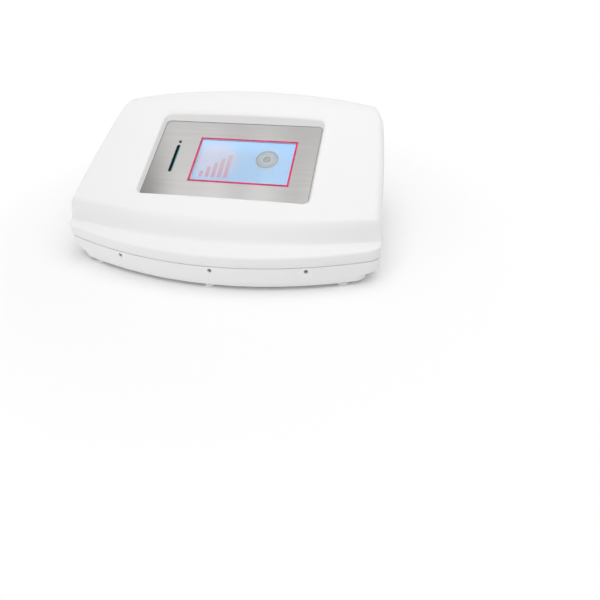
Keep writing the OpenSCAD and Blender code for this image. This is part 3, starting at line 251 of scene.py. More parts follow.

# %% [markdown]
# ## The shape of the casing
# Both mouldings follow one plan. Rows run across the body, and row d crosses the centre line d
# millimetres behind the front edge. The front rows are bowed like the front edge, the rows of the
# panel are straight, and the rear rows bow the other way. The height of the cover comes from a
# ledge, a soft riser and a crowned slope, with its edges rounded off. The same numbers are used in
# the solids, so the cover's fine skin below lies where its solid is.

# %% Plan of the body
BODY_W, FRONT_R, REAR_R = 490.0, 558.0, 1380.0
SIDE_BOW, WIDEST, SHOULDER = 9.5, 50.0, 4.0
CORNER_F, CORNER_R = 13.0, 43.0
PART_Z, LIP_Z, LIP_R, LEDGE_D, LEDGE_RISE, RISER_D = 39.0, 57.0, 4.0, 30.0, 3.4, 24.0
COVER_RISE, CROWN, SIDE_DROP, SIDE_R, CREST_R = 12.4, 11.0, 6.0, 11.0, 75.0
SLOPE, TILT = math.radians(23.6), math.radians(22.5)
PLATE_Z, PLATE_Y = 126.1, 167.0
WIN_W, WIN_L, WIN_R, WIN_ROLL, WIN_DROP = 265.0, 162.0, 8.0, 10.0, 4.5
TC, TS = math.cos(TILT), math.sin(TILT)
WIN_Y0, WIN_Y1 = PLATE_Y - WIN_L/2*TC, PLATE_Y + WIN_L/2*TC
STRAIGHT_0, STRAIGHT_1 = WIN_Y0 - WIN_ROLL*TC + 1, WIN_Y1 + 6
DRAFT = 2.4
FOOT, ROLL = 0.2, 0.45
GRADE = 2/(1 + ROLL - FOOT)


def rise(d):
    """0 on the ledge and 1 on the slope: a short fillet, a steep stretch and a long roll."""
    t = np.clip((d - LEDGE_D)/RISER_D, 0, 1)
    steep = np.where(t < ROLL, GRADE*(t - FOOT/2), 1 - GRADE*(1 - t)**2/(2*(1 - ROLL)))
    return np.where(t < FOOT, GRADE*t*t/(2*FOOT), steep)


def half_w(d):
    """Half the width of the body at row d."""
    return BODY_W/2 - SIDE_BOW*((d - WIDEST)/(BODY_D/2))**2 - SHOULDER*rise(d)


def corner_cut(e, r):
    """How far a corner of radius r draws in, e away from the body's end."""
    m = np.clip(r - e, 0, r)
    return r - np.sqrt(r*r - m*m)


def row_w(d):
    """Half the length of row d, corners rounded."""
    return half_w(d) - corner_cut(d, CORNER_F) - corner_cut(BODY_D - d, CORNER_R)


def row_y(x, d):
    """Where row d lies, x away from the centre line."""
    front = np.where(d < STRAIGHT_0, 1 - (np.maximum(d, 0)/STRAIGHT_0)**1.35, 0)/(2*FRONT_R)
    rear = np.maximum(0, (d - STRAIGHT_1)/(BODY_D - STRAIGHT_1))/(2*REAR_R)
    return d + (front - rear)*x*x


print("half width on the ledge and at the rear:", round(float(half_w(10)), 1),
      round(float(half_w(BODY_D)), 1))

# %% Height of the cover
def plate_at(y):
    """Height of the steel panel's face."""
    return PLATE_Z + math.tan(TILT)*(y - PLATE_Y)


def cover_z(x, d):
    """Height of the cover's outer face, with its rounded edges and the roll into the window."""
    y = row_y(x, d)
    slope = (PLATE_Z + COVER_RISE + math.tan(SLOPE)*(y - PLATE_Y)
             - CROWN*np.maximum(0, (y - LEDGE_D)/(BODY_D - LEDGE_D))*(2*x/BODY_W)**2
             - SIDE_DROP*(2*x/BODY_W)**4)
    roof = (1 - rise(d))*(LIP_Z + LEDGE_RISE*d/LEDGE_D) + rise(d)*slope
    side_r = LIP_R + (SIDE_R - LIP_R)*rise(d)
    qx = np.clip(1 - (row_w(d) - np.abs(x))/side_r, 0, 1)
    qf, qr = np.clip(1 - d/LIP_R, 0, 1), np.clip(1 - (BODY_D - d)/CREST_R, 0, 1)
    qy, end_r = np.maximum(qf, qr), np.where(qr > qf, CREST_R, LIP_R)
    s = np.clip(qx*qx + qy*qy, 1e-12, None)
    drop = (qx*qx*(side_r*(1 - qy) + end_r*qy) + qy*qy*end_r)/s*(1 - np.sqrt(1 - np.minimum(1, s)))
    z = roof - np.where(s > 1e-9, drop, 0)
    ax, ay = np.abs(x) - (WIN_W/2 - WIN_R), np.abs(d - PLATE_Y)/TC - (WIN_L/2 - WIN_R)
    corner, side = np.hypot(np.maximum(ax, 0), np.maximum(ay, 0)), np.minimum(np.maximum(ax, ay), 0)
    away = corner + side - WIN_R - DRAFT
    q = np.clip(1 - np.maximum(away, 0)/WIN_ROLL, 0, 1)
    return np.where(q > 0, np.maximum(plate_at(d) + 1, z - WIN_DROP*(1 - np.sqrt(1 - q*q))), z)


print("cover above the panel at its centre line:", round(float(cover_z(0, PLATE_Y)), 1))

# %% [markdown]
# ## Pieces made from points
# The skins are grids of points that a formula gives, so they are made straight from lists of points
# and faces. One helper makes the object, keeps edges sharp only where the surface really turns, and
# lets the piece ride on its body.

# %% Helpers for meshes
def piece(name, points, faces, material, sharp, body="console"):
    """A mesh piece from points in millimetres, y from the front edge, that rides on a body."""
    mesh = bpy.data.meshes.new(name)
    mesh.from_pydata([spot(*p) for p in points], [], faces)
    work = bmesh.new()
    work.from_mesh(mesh)
    bmesh.ops.remove_doubles(work, verts=work.verts, dist=1e-6)
    bmesh.ops.recalc_face_normals(work, faces=work.faces)
    for face in work.faces:
        face.smooth = True
    for edge in work.edges:
        if len(edge.link_faces) == 2 and edge.calc_face_angle(0) > math.radians(sharp):
            edge.smooth = False
    work.to_mesh(mesh)
    work.free()
    mesh.materials.append(material)
    made = bpy.data.objects.new(name, mesh)
    bpy.context.scene.collection.objects.link(made)
    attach(made, body)
    return made


def bands(first, second):
    """Quads between two closed rings of point numbers."""
    n = len(first)
    return [(first[k], first[(k + 1) % n], second[(k + 1) % n], second[k]) for k in range(n)]


def on_panel(u, v, h):
    """A point of the panel's plane, h above the steel."""
    return (u, PLATE_Y + v*TC - h*TS, PLATE_Z + v*TS + h*TC)


print("panel's middle:", [round(v, 1) for v in on_panel(0, 0, 0)])

# %% [markdown]
# ## White ABS
# The mouldings are ABS with a fine spark-eroded grain, which makes them matt with a faint sheen. The
# grain is about 0.25 mm, too fine for this view, so it is drawn at 0.9 mm. ABS has an IOR near 1.53
# and such a grain a roughness near 0.45.

# %% Finish of the mouldings
def moulded(name, colour, rough, grain=0.9, depth=0.03, shift=0.02, ior=1.53):
    """Injection-moulded plastic: an even colour with a faint cloud, and the grain of its mould."""
    material, tree, out = new_material(name)
    place = add(tree, "ShaderNodeTexCoord")
    cloud = add(tree, "ShaderNodeTexNoise", {"Vector": place.outputs["Object"]},
                {"Scale": 14, "Detail": 3})
    base = linear(colour)
    darker = [c*(1 - shift) for c in base[:3]] + [1.0]
    tone = add(tree, "ShaderNodeMix", {"Factor": cloud.outputs["Fac"]}, None, data_type="RGBA")
    tone.inputs["A"].default_value, tone.inputs["B"].default_value = darker, base
    grit = add(tree, "ShaderNodeTexNoise", {"Vector": place.outputs["Object"]},
               {"Scale": 1000/grain, "Detail": 2, "Roughness": 0.6})
    gloss = add(tree, "ShaderNodeMapRange", {"Value": grit.outputs["Fac"]},
                {"From Min": 0.3, "From Max": 0.7, "To Min": rough - 0.05, "To Max": rough + 0.05})
    bump = add(tree, "ShaderNodeBump", {"Height": grit.outputs["Fac"]},
               {"Strength": 0.35, "Distance": depth/1000})
    shell = add(tree, "ShaderNodeBsdfPrincipled",
                {"Base Color": tone.outputs["Result"], "Roughness": gloss.outputs[0],
                 "Normal": bump.outputs["Normal"]},
                {"IOR": ior})
    tree.links.new(shell.outputs["BSDF"], out.inputs["Surface"])
    return material


white_abs = moulded("grained_white_abs", "#E5E4E5", 0.45)
print("made", white_abs.name)

# %% [markdown]
# ## The cover
# The real cover is one moulding: a crowned skin, side walls down to the parting line, and a window
# with a deep rim for the steel panel. A grid of straight rows would meet the window's round corners
# badly. Rings that start as the window's outline and end as the body's outline follow every edge,
# so the skin is made of rings. They stand close together where the surface turns quickly. The
# window's wall leans outward by a few millimetres, the draft that lets the moulding leave its tool.

# %% Outlines of the body and the window
N_LONG, N_CORNER, N_SIDE, N_TAIL = 90, 12, 56, 12
REAR_HALF, REAR_TOP = 148.0, 119.0


def body_outline():
    """Row and reach of points round the body, anticlockwise from the front left corner's end."""
    w0, w1 = float(row_w(np.array(0.0))), float(row_w(np.array(BODY_D)))
    turn_up = np.linspace(0, math.pi/2, N_CORNER + 2)[1:-1]
    side = np.concatenate([CORNER_F*(1 - np.cos(turn_up)),
                           np.linspace(CORNER_F, BODY_D - CORNER_R, N_SIDE),
                           BODY_D - CORNER_R*(1 - np.cos(turn_up[::-1]))])
    tail = np.concatenate([np.linspace(w1, REAR_HALF, N_TAIL + 1)[:-1],
                           np.linspace(REAR_HALF, -REAR_HALF, N_LONG - 2*N_TAIL),
                           np.linspace(-REAR_HALF, -w1, N_TAIL + 1)[1:]])
    x = np.concatenate([np.linspace(-w0, w0, N_LONG), row_w(side), tail, -row_w(side[::-1])])
    d = np.concatenate([np.zeros(N_LONG), side, np.full(len(tail), BODY_D), side[::-1]])
    return x, d


def window_outline(grow):
    """The window's outline, point for point beside the body's, larger by grow millimetres."""
    hx, hd, r = WIN_W/2 + grow, WIN_L/2 + grow, WIN_R + grow
    turn_up = np.linspace(0, math.pi/2, N_CORNER + 2)[1:-1]
    long_x = np.linspace(-hx + r, hx - r, N_LONG)
    long_d = np.linspace(-hd + r, hd - r, N_SIDE)
    cx, cd = hx - r + r*np.sin(turn_up), hd - r + r*np.cos(turn_up)
    x = np.concatenate([long_x, cx, np.full(N_SIDE, hx), cx[::-1],
                        long_x[::-1], -cx, np.full(N_SIDE, -hx), -cx[::-1]])
    v = np.concatenate([np.full(N_LONG, -hd), -cd, long_d, cd[::-1],
                        np.full(N_LONG, hd), cd, long_d[::-1], -cd[::-1]])
    return x, PLATE_Y + v*TC


edge_x, edge_d = body_outline()
hole_x, hole_d = window_outline(DRAFT)
seat_x, seat_d = window_outline(0.0)
print("points round the body and the window:", len(edge_x), len(hole_x))

# %% The cover's skin
NEAR_WINDOW = (0, 0.15, 0.5, 1.1, 1.9, 3, 4.3, 5.8, 7.4, 9, 10.5)
NEAR_EDGE = (16, 13.5, 11.2, 9.4, 7.8, 6.4, 5.1, 4, 3, 2.1, 1.3, 0.7, 0.25, 0)
N_BETWEEN = 28


def cover_skin():
    """Rings from the foot of the window's wall out to the body's edge."""
    span = np.hypot(edge_x - hole_x, edge_d - hole_d)
    free = span - NEAR_WINDOW[-1] - NEAR_EDGE[0]
    rings = [step/span for step in NEAR_WINDOW]
    rings += [(NEAR_WINDOW[-1] + share*free)/span for share in np.linspace(0, 1, N_BETWEEN + 2)[1:-1]]
    rings += [1 - step/span for step in NEAR_EDGE]
    points, loops = [], []
    n = len(edge_x)
    low_x, low_d = seat_x + (hole_x - seat_x)*0.12, seat_d + (hole_d - seat_d)*0.12
    rows = [[(x, y, plate_at(y) + 0.3) for x, y in zip(seat_x, seat_d)],
            [(x, y, plate_at(y) + 1.2) for x, y in zip(low_x, low_d)]]
    for t in rings:
        x, d = hole_x + (edge_x - hole_x)*t, hole_d + (edge_d - hole_d)*t
        rows.append(list(zip(x, row_y(x, d), cover_z(x, d))))
    for row in rows:
        loops.append(list(range(len(points), len(points) + n)))
        points += row
    faces = [f for a, b in zip(loops, loops[1:]) for f in bands(a, b)]
    return points, faces, loops[-1]


def inset(x, d, i):
    """A point of the body's edge drawn in by i millimetres."""
    px = x*(1 - i/half_w(d))
    return float(px), float(row_y(px, d) + i*(1 - 2*d/BODY_D))


SHADOW_GAP = ((1.15, 0), (0.9, 0.15), (0.8, 0.4), (0.8, 1.0), (0.0, 1.0))


def cover_walls(points, faces, rim):
    """Walls from the rim to the parting line, left open at the rear for the rear panel."""
    n, foot = len(rim), []
    for above, i in SHADOW_GAP:
        foot.append(list(range(len(points), len(points) + n)))
        points += [(*inset(x, d, i), PART_Z + above) for x, d in zip(edge_x, edge_d)]
    head = {}
    for k in range(n):
        if edge_d[k] == BODY_D and abs(edge_x[k]) <= REAR_HALF + 1e-6:
            head[k] = len(points)
            points.append((*inset(edge_x[k], edge_d[k], 0), REAR_TOP))
    for k in range(n):
        m = (k + 1) % n
        if k in head and m in head:
            faces.append((rim[k], rim[m], head[m], head[k]))
            continue
        corners = [rim[k], rim[m]] + ([head[m]] if m in head else []) + [foot[0][m], foot[0][k]]
        faces.append(corners + ([head[k]] if k in head else []))
        for a, b in zip(foot, foot[1:]):
            faces.append((a[k], a[m], b[m], b[k]))
    return points, faces


cover_points, cover_faces, cover_rim = cover_skin()
cover_points, cover_faces = cover_walls(cover_points, cover_faces, cover_rim)
cover = piece("cover_moulding", cover_points, cover_faces, white_abs, sharp=50)
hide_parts("top_cover")
print("cover faces:", len(cover_faces))

# %% [markdown]
# ## Giving a solid its finish
# The solids of the frame keep their shape. Each one gets its material here, and where its edges show,
# a bevel of a few tenths of a millimetre, as every moulded or stamped edge has. A bevel modifier
# does that without touching the mesh, and the light then catches the edge.

# %% Helper for the frame's solids
dressed = set()


def finish_node(material, *names, bevel=0.0):
    """Gives frame solids their material, and a bevel in millimetres."""
    for name in names:
        node = nodes[name]
        node.data.materials.clear()
        node.data.materials.append(material)
        dressed.add(name)
        if bevel:
            edge = node.modifiers.new("edge", "BEVEL")
            edge.width, edge.segments = bevel/1000, 2
            edge.limit_method, edge.angle_limit = "ANGLE", math.radians(50)
            edge.harden_normals = True
    print(material.name, "on", ", ".join(names))


finish_node(white_abs, "base_tray")

# %% [markdown]
# ## Feet
# The feet are a light thermoplastic elastomer, softer and duller than the casing. The same moulded
# finish serves, with a rougher surface and a lower IOR. Each front foot has a low toe that comes out
# to the edge of the tray, which shows as a small bump in the gap above the floor. The toe is turned
# about an upright axis, like the foot: four rings of points joined by bands.

# %% Feet
light_elastomer = moulded("light_elastomer", "#DCDCDD", 0.62, grain=0.7, ior=1.5)
finish_node(light_elastomer, "feet")

# %% Toes of the front feet
FRONT_FEET = ((-193.0, 47.1), (0.0, 13.7), (193.0, 47.1))
TOE_R, TOE_AHEAD, TOE_TURNS = 8.6, 3.6, 32
TOE_SECTION = ((-1.4, 0.05), (-0.4, 0.9), (0.0, 4.9), (-3.0, 5.1))


def foot_toes():
    """A low round toe in front of each front foot, out to the edge of the tray."""
    points, faces = [], []
    turn_round = np.linspace(0, 2*math.pi, TOE_TURNS + 1)[:-1]
    for x, y in FRONT_FEET:
        loops = []
        for wider, z in TOE_SECTION:
            r = TOE_R + wider
            loops.append(list(range(len(points), len(points) + TOE_TURNS)))
            points += [(x + r*math.cos(t), y - TOE_AHEAD + r*math.sin(t), z) for t in turn_round]
        faces += [loops[0][::-1]] + [f for a, b in zip(loops, loops[1:]) for f in bands(a, b)]
    return points, faces


toes = piece("foot_toes", *foot_toes(), light_elastomer, sharp=50)
print("toe faces:", len(toes.data.polygons))

# %% [markdown]
# ## Brushed stainless steel
# The panel is sheet steel brushed from side to side. The brush leaves fine parallel lines, so the
# steel mirrors its surroundings sharply along them and smears them across, which shows as soft
# upright streaks. The shader does the same with its anisotropy. It needs the direction of the
# smear, and a tangent that turns about X points up the panel everywhere. Brush lines are about
# 0.1 mm apart, and they are drawn at 0.8 mm here so that a few of them show.

# %% Millimetres on the panel
def panel_mm(tree, u=0.0, v=0.0):
    """Coordinates in millimetres on the tilted panel, counted from a point of it."""
    place = add(tree, "ShaderNodeTexCoord")
    turned = add(tree, "ShaderNodeMapping", {"Vector": place.outputs["Object"]},
                 vector_type="TEXTURE")
    turned.inputs["Location"].default_value = spot(*on_panel(u, v, 0))
    turned.inputs["Rotation"].default_value = (TILT, 0, 0)
    turned.inputs["Scale"].default_value = (0.001, 0.001, 0.001)
    return turned.outputs["Vector"]


def brushed_steel(name, colour):
    """Stainless steel brushed along X, with fine lines and faint broad clouds."""
    material, tree, out = new_material(name)
    spread = add(tree, "ShaderNodeVectorMath", {0: panel_mm(tree)}, {1: (0.025, 1.25, 1.25)},
                 operation="MULTIPLY")
    lines = add(tree, "ShaderNodeTexNoise", {"Vector": spread.outputs["Vector"]},
                {"Scale": 1.0, "Detail": 4, "Roughness": 0.65})
    wide = add(tree, "ShaderNodeVectorMath", {0: panel_mm(tree)}, {1: (0.006, 0.16, 0.16)},
               operation="MULTIPLY")
    clouds = add(tree, "ShaderNodeTexNoise", {"Vector": wide.outputs["Vector"]},
                 {"Scale": 1.0, "Detail": 2})
    both = add(tree, "ShaderNodeMix", {"A": lines.outputs["Fac"], "B": clouds.outputs["Fac"]},
               {"Factor": 0.35})
    shade = add(tree, "ShaderNodeMapRange", {"Value": both.outputs[0]},
                {"From Min": 0.3, "From Max": 0.7, "To Min": 0.0, "To Max": 1.0})
    tone = add(tree, "ShaderNodeMix", {"Factor": shade.outputs[0]}, None, data_type="RGBA")
    base = linear(colour)
    tone.inputs["A"].default_value = [c*0.93 for c in base[:3]] + [1.0]
    tone.inputs["B"].default_value = [min(1, c*1.05) for c in base[:3]] + [1.0]
    gloss = add(tree, "ShaderNodeMapRange", {"Value": lines.outputs["Fac"]},
                {"From Min": 0.3, "From Max": 0.7, "To Min": 0.13, "To Max": 0.18})
    bump = add(tree, "ShaderNodeBump", {"Height": lines.outputs["Fac"]},
               {"Strength": 0.15, "Distance": 0.00004})
    smear = add(tree, "ShaderNodeTangent", direction_type="RADIAL", axis="X")
    steel = add(tree, "ShaderNodeBsdfPrincipled",
                {"Base Color": tone.outputs["Result"], "Roughness": gloss.outputs[0],
                 "Normal": bump.outputs["Normal"], "Tangent": smear.outputs["Tangent"]},
                {"Metallic": 1.0, "Anisotropic": 0.9})
    tree.links.new(steel.outputs["BSDF"], out.inputs["Surface"])
    return material


brushed_stainless = brushed_steel("brushed_stainless_steel", "#D2D1D0")
finish_node(brushed_stainless, "control_panel")

# %% [markdown]
# ## Painted shadow at the panel's edge
# A thin grey-brown strip runs round the panel where it meets the cover. It is painted shadow, the
# shade in the narrow gap between panel and cover, and shows as a fine dark line at the foot of the
# window's wall. Five rings of points along the window's outline give its low rounded section.

# %% Painted shadow strip
GAP_SHADOW_SECTION = ((0.6, 0.0), (0.3, 0.4), (-0.8, 0.4), (-1.2, 0.2), (-1.2, -0.1))


def gap_shadow_strip():
    """A strip of painted shadow under 2 mm wide and 0.4 mm high along the window's foot."""
    points, loops = [], []
    for grow, height in GAP_SHADOW_SECTION:
        x, d = window_outline(grow)
        loops.append(list(range(len(points), len(points) + len(x))))
        points += [(float(a), float(b), plate_at(float(b)) + height) for a, b in zip(x, d)]
    return points, [f for a, b in zip(loops, loops[1:]) for f in bands(a, b)]


# Grey-brown painted shadow: a colour that stands in for the shade in the gap under the window's rim.
gap_shadow_grey = moulded("painted_gap_shadow", "#9A918B", 0.7, grain=0.4, shift=0.15, ior=1.45)
gap_shadow_piece = piece("panel_gap_shadow", *gap_shadow_strip(), gap_shadow_grey, sharp=60)
print("gasket faces:", len(gap_shadow_piece.data.polygons))

# %% [markdown]
# ## The screen's frame
# A pink ink is printed on the back of a clear film round the screen. It is glossy, lies flat and
# has the slightly uneven depth of screen-printed ink.

# %% Printed frame
def printed_ink(name, colour, deep):
    """Screen-printed ink under clear film: two depths of one colour under an even gloss."""
    material, tree, out = new_material(name)
    place = panel_mm(tree)
    blot = add(tree, "ShaderNodeTexNoise", {"Vector": place}, {"Scale": 0.12, "Detail": 3})
    depth = add(tree, "ShaderNodeMapRange", {"Value": blot.outputs["Fac"]},
                {"From Min": 0.35, "From Max": 0.65})
    tone = add(tree, "ShaderNodeMix", {"Factor": depth.outputs[0]}, None, data_type="RGBA")
    tone.inputs["A"].default_value = linear(deep)
    tone.inputs["B"].default_value = linear(colour)
    dot = add(tree, "ShaderNodeTexNoise", {"Vector": place}, {"Scale": 1.6, "Detail": 1})
    bump = add(tree, "ShaderNodeBump", {"Height": dot.outputs["Fac"]},
               {"Strength": 0.1, "Distance": 0.00002})
    film = add(tree, "ShaderNodeBsdfPrincipled",
               {"Base Color": tone.outputs["Result"], "Normal": bump.outputs["Normal"]},
               {"Roughness": 0.4, "IOR": 1.5})
    tree.links.new(film.outputs["BSDF"], out.inputs["Surface"])
    return material


pink_ink = printed_ink("pink_screen_print", "#E61068", "#B8034D")
finish_node(pink_ink, "screen_border")

# %% [markdown]
# ## Cover glass and display
# Under the film's opening lies a sheet of clear glass, and under that the display. Its picture is
# light, so it is an emission, with a little of the same colour as paint, because a display also
# throws back some of the room's light. The picture is a plain one: a soft blue ground, five pressure
# bars and a round timer. Each shape is a mask made from distances in millimetres on the panel, which
# stays sharp at any size, where an image would need a file.

# %% Glass
def clear_glass(name, tint, rough):
    """Float glass with a faint film of finger grease."""
    material, tree, out = new_material(name)
    place = add(tree, "ShaderNodeTexCoord")
    smear = add(tree, "ShaderNodeTexNoise", {"Vector": place.outputs["Object"]},
                {"Scale": 35, "Detail": 3})
    dull = add(tree, "ShaderNodeMapRange", {"Value": smear.outputs["Fac"]},
               {"From Min": 0.4, "From Max": 0.7, "To Min": rough, "To Max": rough + 0.03})
    glass = add(tree, "ShaderNodeBsdfPrincipled", {"Roughness": dull.outputs[0]},
                {"Base Color": linear(tint), "Transmission Weight": 1.0, "IOR": 1.52})
    tree.links.new(glass.outputs["BSDF"], out.inputs["Surface"])
    return material


float_glass = clear_glass("float_glass", "#FBFDFD", 0.0)
finish_node(float_glass, "touch_glass")

# %% Masks of the picture
SCREEN_X, SCREEN_W, SCREEN_H = 17.2, 155.0, 86.0
BAR_N, BAR_START, BAR_STEP, BAR_SHARE = 5.0, -66.0, 10.0, 0.62
BAR_BASE, BAR_FIRST, BAR_GROWS = -34.0, -22.0, 9.0
DIAL_R, DIAL_TICKS = 18.0, 24.0
DIAL_RINGS = ((0.10, 0.95), (0.34, 1.0), (0.40, 0.15), (0.58, 0.15), (0.64, 0.8), (0.76, 0.2),
              (0.86, 0.9))


def bar_mask(tree, split):
    """1 inside five bars that grow by 9 mm each, 10 mm apart, over a base line."""
    start = add(tree, "ShaderNodeMath", {0: split.outputs["X"]}, {1: -BAR_START}, operation="ADD")
    count = add(tree, "ShaderNodeMath", {0: start.outputs[0]}, {1: BAR_STEP}, operation="DIVIDE")
    index = add(tree, "ShaderNodeMath", {0: count.outputs[0]}, operation="FLOOR")
    across = add(tree, "ShaderNodeMath", {0: count.outputs[0]}, operation="FRACT")
    narrow = add(tree, "ShaderNodeMath", {0: across.outputs[0]}, {1: BAR_SHARE},
                 operation="LESS_THAN")
    first = add(tree, "ShaderNodeMath", {0: count.outputs[0]}, {1: 0.0}, operation="GREATER_THAN")
    last = add(tree, "ShaderNodeMath", {0: count.outputs[0]}, {1: BAR_N}, operation="LESS_THAN")
    top = add(tree, "ShaderNodeMath", {0: index.outputs[0]}, {1: BAR_GROWS, 2: BAR_FIRST},
              operation="MULTIPLY_ADD")
    under = add(tree, "ShaderNodeMath", {0: split.outputs["Y"], 1: top.outputs[0]},
                operation="LESS_THAN")
    over = add(tree, "ShaderNodeMath", {0: split.outputs["Y"]}, {1: BAR_BASE},
               operation="GREATER_THAN")
    inside = add(tree, "ShaderNodeMath", {0: narrow.outputs[0], 1: first.outputs[0]},
                 operation="MULTIPLY")
    inside = add(tree, "ShaderNodeMath", {0: inside.outputs[0], 1: last.outputs[0]},
                 operation="MULTIPLY")
    inside = add(tree, "ShaderNodeMath", {0: inside.outputs[0], 1: under.outputs[0]},
                 operation="MULTIPLY")
    return add(tree, "ShaderNodeMath", {0: inside.outputs[0], 1: over.outputs[0]},
               operation="MULTIPLY")


def dial_mask(tree, split, u, v):
    """How strongly the rings, ticks and hub of a round timer at u, v are drawn."""
    du = add(tree, "ShaderNodeMath", {0: split.outputs["X"]}, {1: u}, operation="SUBTRACT")
    dv = add(tree, "ShaderNodeMath", {0: split.outputs["Y"]}, {1: v}, operation="SUBTRACT")
    flat = add(tree, "ShaderNodeCombineXYZ", {"X": du.outputs[0], "Y": dv.outputs[0]})
    far = add(tree, "ShaderNodeVectorMath", {0: flat.outputs["Vector"]}, operation="LENGTH")
    share = add(tree, "ShaderNodeMath", {0: far.outputs["Value"]}, {1: DIAL_R}, operation="DIVIDE")
    rings = add(tree, "ShaderNodeValToRGB", {"Fac": share.outputs[0]})
    for place, level in DIAL_RINGS:
        rings.color_ramp.elements.new(place).color = (level, level, level, 1)
    rings.color_ramp.elements[0].color = (0.3, 0.3, 0.3, 1)
    rings.color_ramp.elements[-1].color = (0.9, 0.9, 0.9, 1)
    angle = add(tree, "ShaderNodeMath", {0: dv.outputs[0], 1: du.outputs[0]}, operation="ARCTAN2")
    steps = add(tree, "ShaderNodeMath", {0: angle.outputs[0]}, {1: DIAL_TICKS},
                operation="MULTIPLY")
    comb = add(tree, "ShaderNodeMath", {0: steps.outputs[0]}, operation="COSINE")
    tick = add(tree, "ShaderNodeMapRange", {"Value": comb.outputs[0]},
               {"From Min": -0.4, "From Max": 0.4,
                                                                    "To Min": 0.75, "To Max": 1.0})
    body = add(tree, "ShaderNodeMath", {0: rings.outputs["Color"], 1: tick.outputs[0]},
               operation="MULTIPLY")
    disc = add(tree, "ShaderNodeMapRange", {"Value": far.outputs["Value"]},
               {"From Min": DIAL_R - 0.5, "From Max": DIAL_R + 0.5, "To Min": 1.0, "To Max": 0.0})
    return add(tree, "ShaderNodeMath", {0: body.outputs[0], 1: disc.outputs[0]},
               operation="MULTIPLY")


print("picture:", SCREEN_W, "x", SCREEN_H, "mm")

# %% Display
def lit_display(name):
    """A colour display in its metal frame: light inside the active area, tinned steel outside."""
    material, tree, out = new_material(name)
    place = panel_mm(tree, SCREEN_X)
    split = add(tree, "ShaderNodeSeparateXYZ", {"Vector": place})
    left_right = add(tree, "ShaderNodeMapRange", {"Value": split.outputs["X"]},
                     {"From Min": -77, "From Max": 77})
    ground = add(tree, "ShaderNodeMix", {"Factor": left_right.outputs[0]}, None, data_type="RGBA")
    ground.inputs["A"].default_value = linear("#BBDCFD")
    ground.inputs["B"].default_value = linear("#A8D2FA")
    veil = add(tree, "ShaderNodeMapping", {"Vector": place},
               {"Location": (0.94, -0.05, 0), "Scale": (0.02, 0.022, 0.0)})
    ball = add(tree, "ShaderNodeTexGradient", {"Vector": veil.outputs["Vector"]},
               gradient_type="SPHERICAL")
    glow = add(tree, "ShaderNodeMapRange", {"Value": ball.outputs["Fac"]},
               {"From Min": 0.0, "From Max": 0.6, "To Min": 0.0, "To Max": 0.85},
               interpolation_type="SMOOTHSTEP")
    pale = add(tree, "ShaderNodeMix", {"Factor": glow.outputs[0], "A": ground.outputs["Result"]},
               None,
               data_type="RGBA")
    pale.inputs["B"].default_value = linear("#DCDDF0")
    bars = bar_mask(tree, split)
    height = add(tree, "ShaderNodeMapRange", {"Value": split.outputs["Y"]},
                 {"From Min": -34, "From Max": 25})
    rose = add(tree, "ShaderNodeMix", {"Factor": height.outputs[0]}, None, data_type="RGBA")
    rose.inputs["A"].default_value = linear("#D3A3B7")
    rose.inputs["B"].default_value = linear("#E3CBDC")
    barred = add(tree, "ShaderNodeMix", {"Factor": bars.outputs[0], "A": pale.outputs["Result"],
                                         "B": rose.outputs["Result"]}, None, data_type="RGBA")
    dial = dial_mask(tree, split, 36.5, 8.0)
    timed = add(tree, "ShaderNodeMix", {"Factor": dial.outputs[0], "A": barred.outputs["Result"]},
                None,
                data_type="RGBA")
    timed.inputs["B"].default_value = linear("#B08A1E")
    wide = add(tree, "ShaderNodeMath", {0: split.outputs["X"]}, operation="ABSOLUTE")
    tall = add(tree, "ShaderNodeMath", {0: split.outputs["Y"]}, operation="ABSOLUTE")
    in_x = add(tree, "ShaderNodeMath", {0: wide.outputs[0]}, {1: SCREEN_W/2}, operation="LESS_THAN")
    in_y = add(tree, "ShaderNodeMath", {0: tall.outputs[0]}, {1: SCREEN_H/2}, operation="LESS_THAN")
    front = add(tree, "ShaderNodeMath", {0: split.outputs["Z"]}, {1: -3.0},
                operation="GREATER_THAN")
    active = add(tree, "ShaderNodeMath", {0: in_x.outputs[0], 1: in_y.outputs[0]},
                 operation="MULTIPLY")
    active = add(tree, "ShaderNodeMath", {0: active.outputs[0], 1: front.outputs[0]},
                 operation="MULTIPLY")
    lit_back = add(tree, "ShaderNodeVectorMath", {0: timed.outputs["Result"]}, {"Scale": 0.22},
                   operation="SCALE")
    shining = add(tree, "ShaderNodeBsdfPrincipled", {"Emission Color": timed.outputs["Result"],
                                                     "Base Color": lit_back.outputs["Vector"]},
                  {"Roughness": 0.3, "IOR": 1.5, "Emission Strength": 0.86})
    dent = add(tree, "ShaderNodeTexNoise", {"Vector": place}, {"Scale": 0.25, "Detail": 3})
    bump = add(tree, "ShaderNodeBump", {"Height": dent.outputs["Fac"]},
               {"Strength": 0.3, "Distance": 0.0001})
    tinned = add(tree, "ShaderNodeBsdfPrincipled", {"Normal": bump.outputs["Normal"]},
                 {"Base Color": linear("#B9BBBD"), "Metallic": 1.0, "Roughness": 0.35})
    joined = add(tree, "ShaderNodeMixShader",
                 {0: active.outputs[0], 1: tinned.outputs[0], 2: shining.outputs[0]})
    tree.links.new(joined.outputs[0], out.inputs["Surface"])
    return material


display_module = lit_display("tinned_steel_and_lit_display")
finish_node(display_module, "lcd_module")
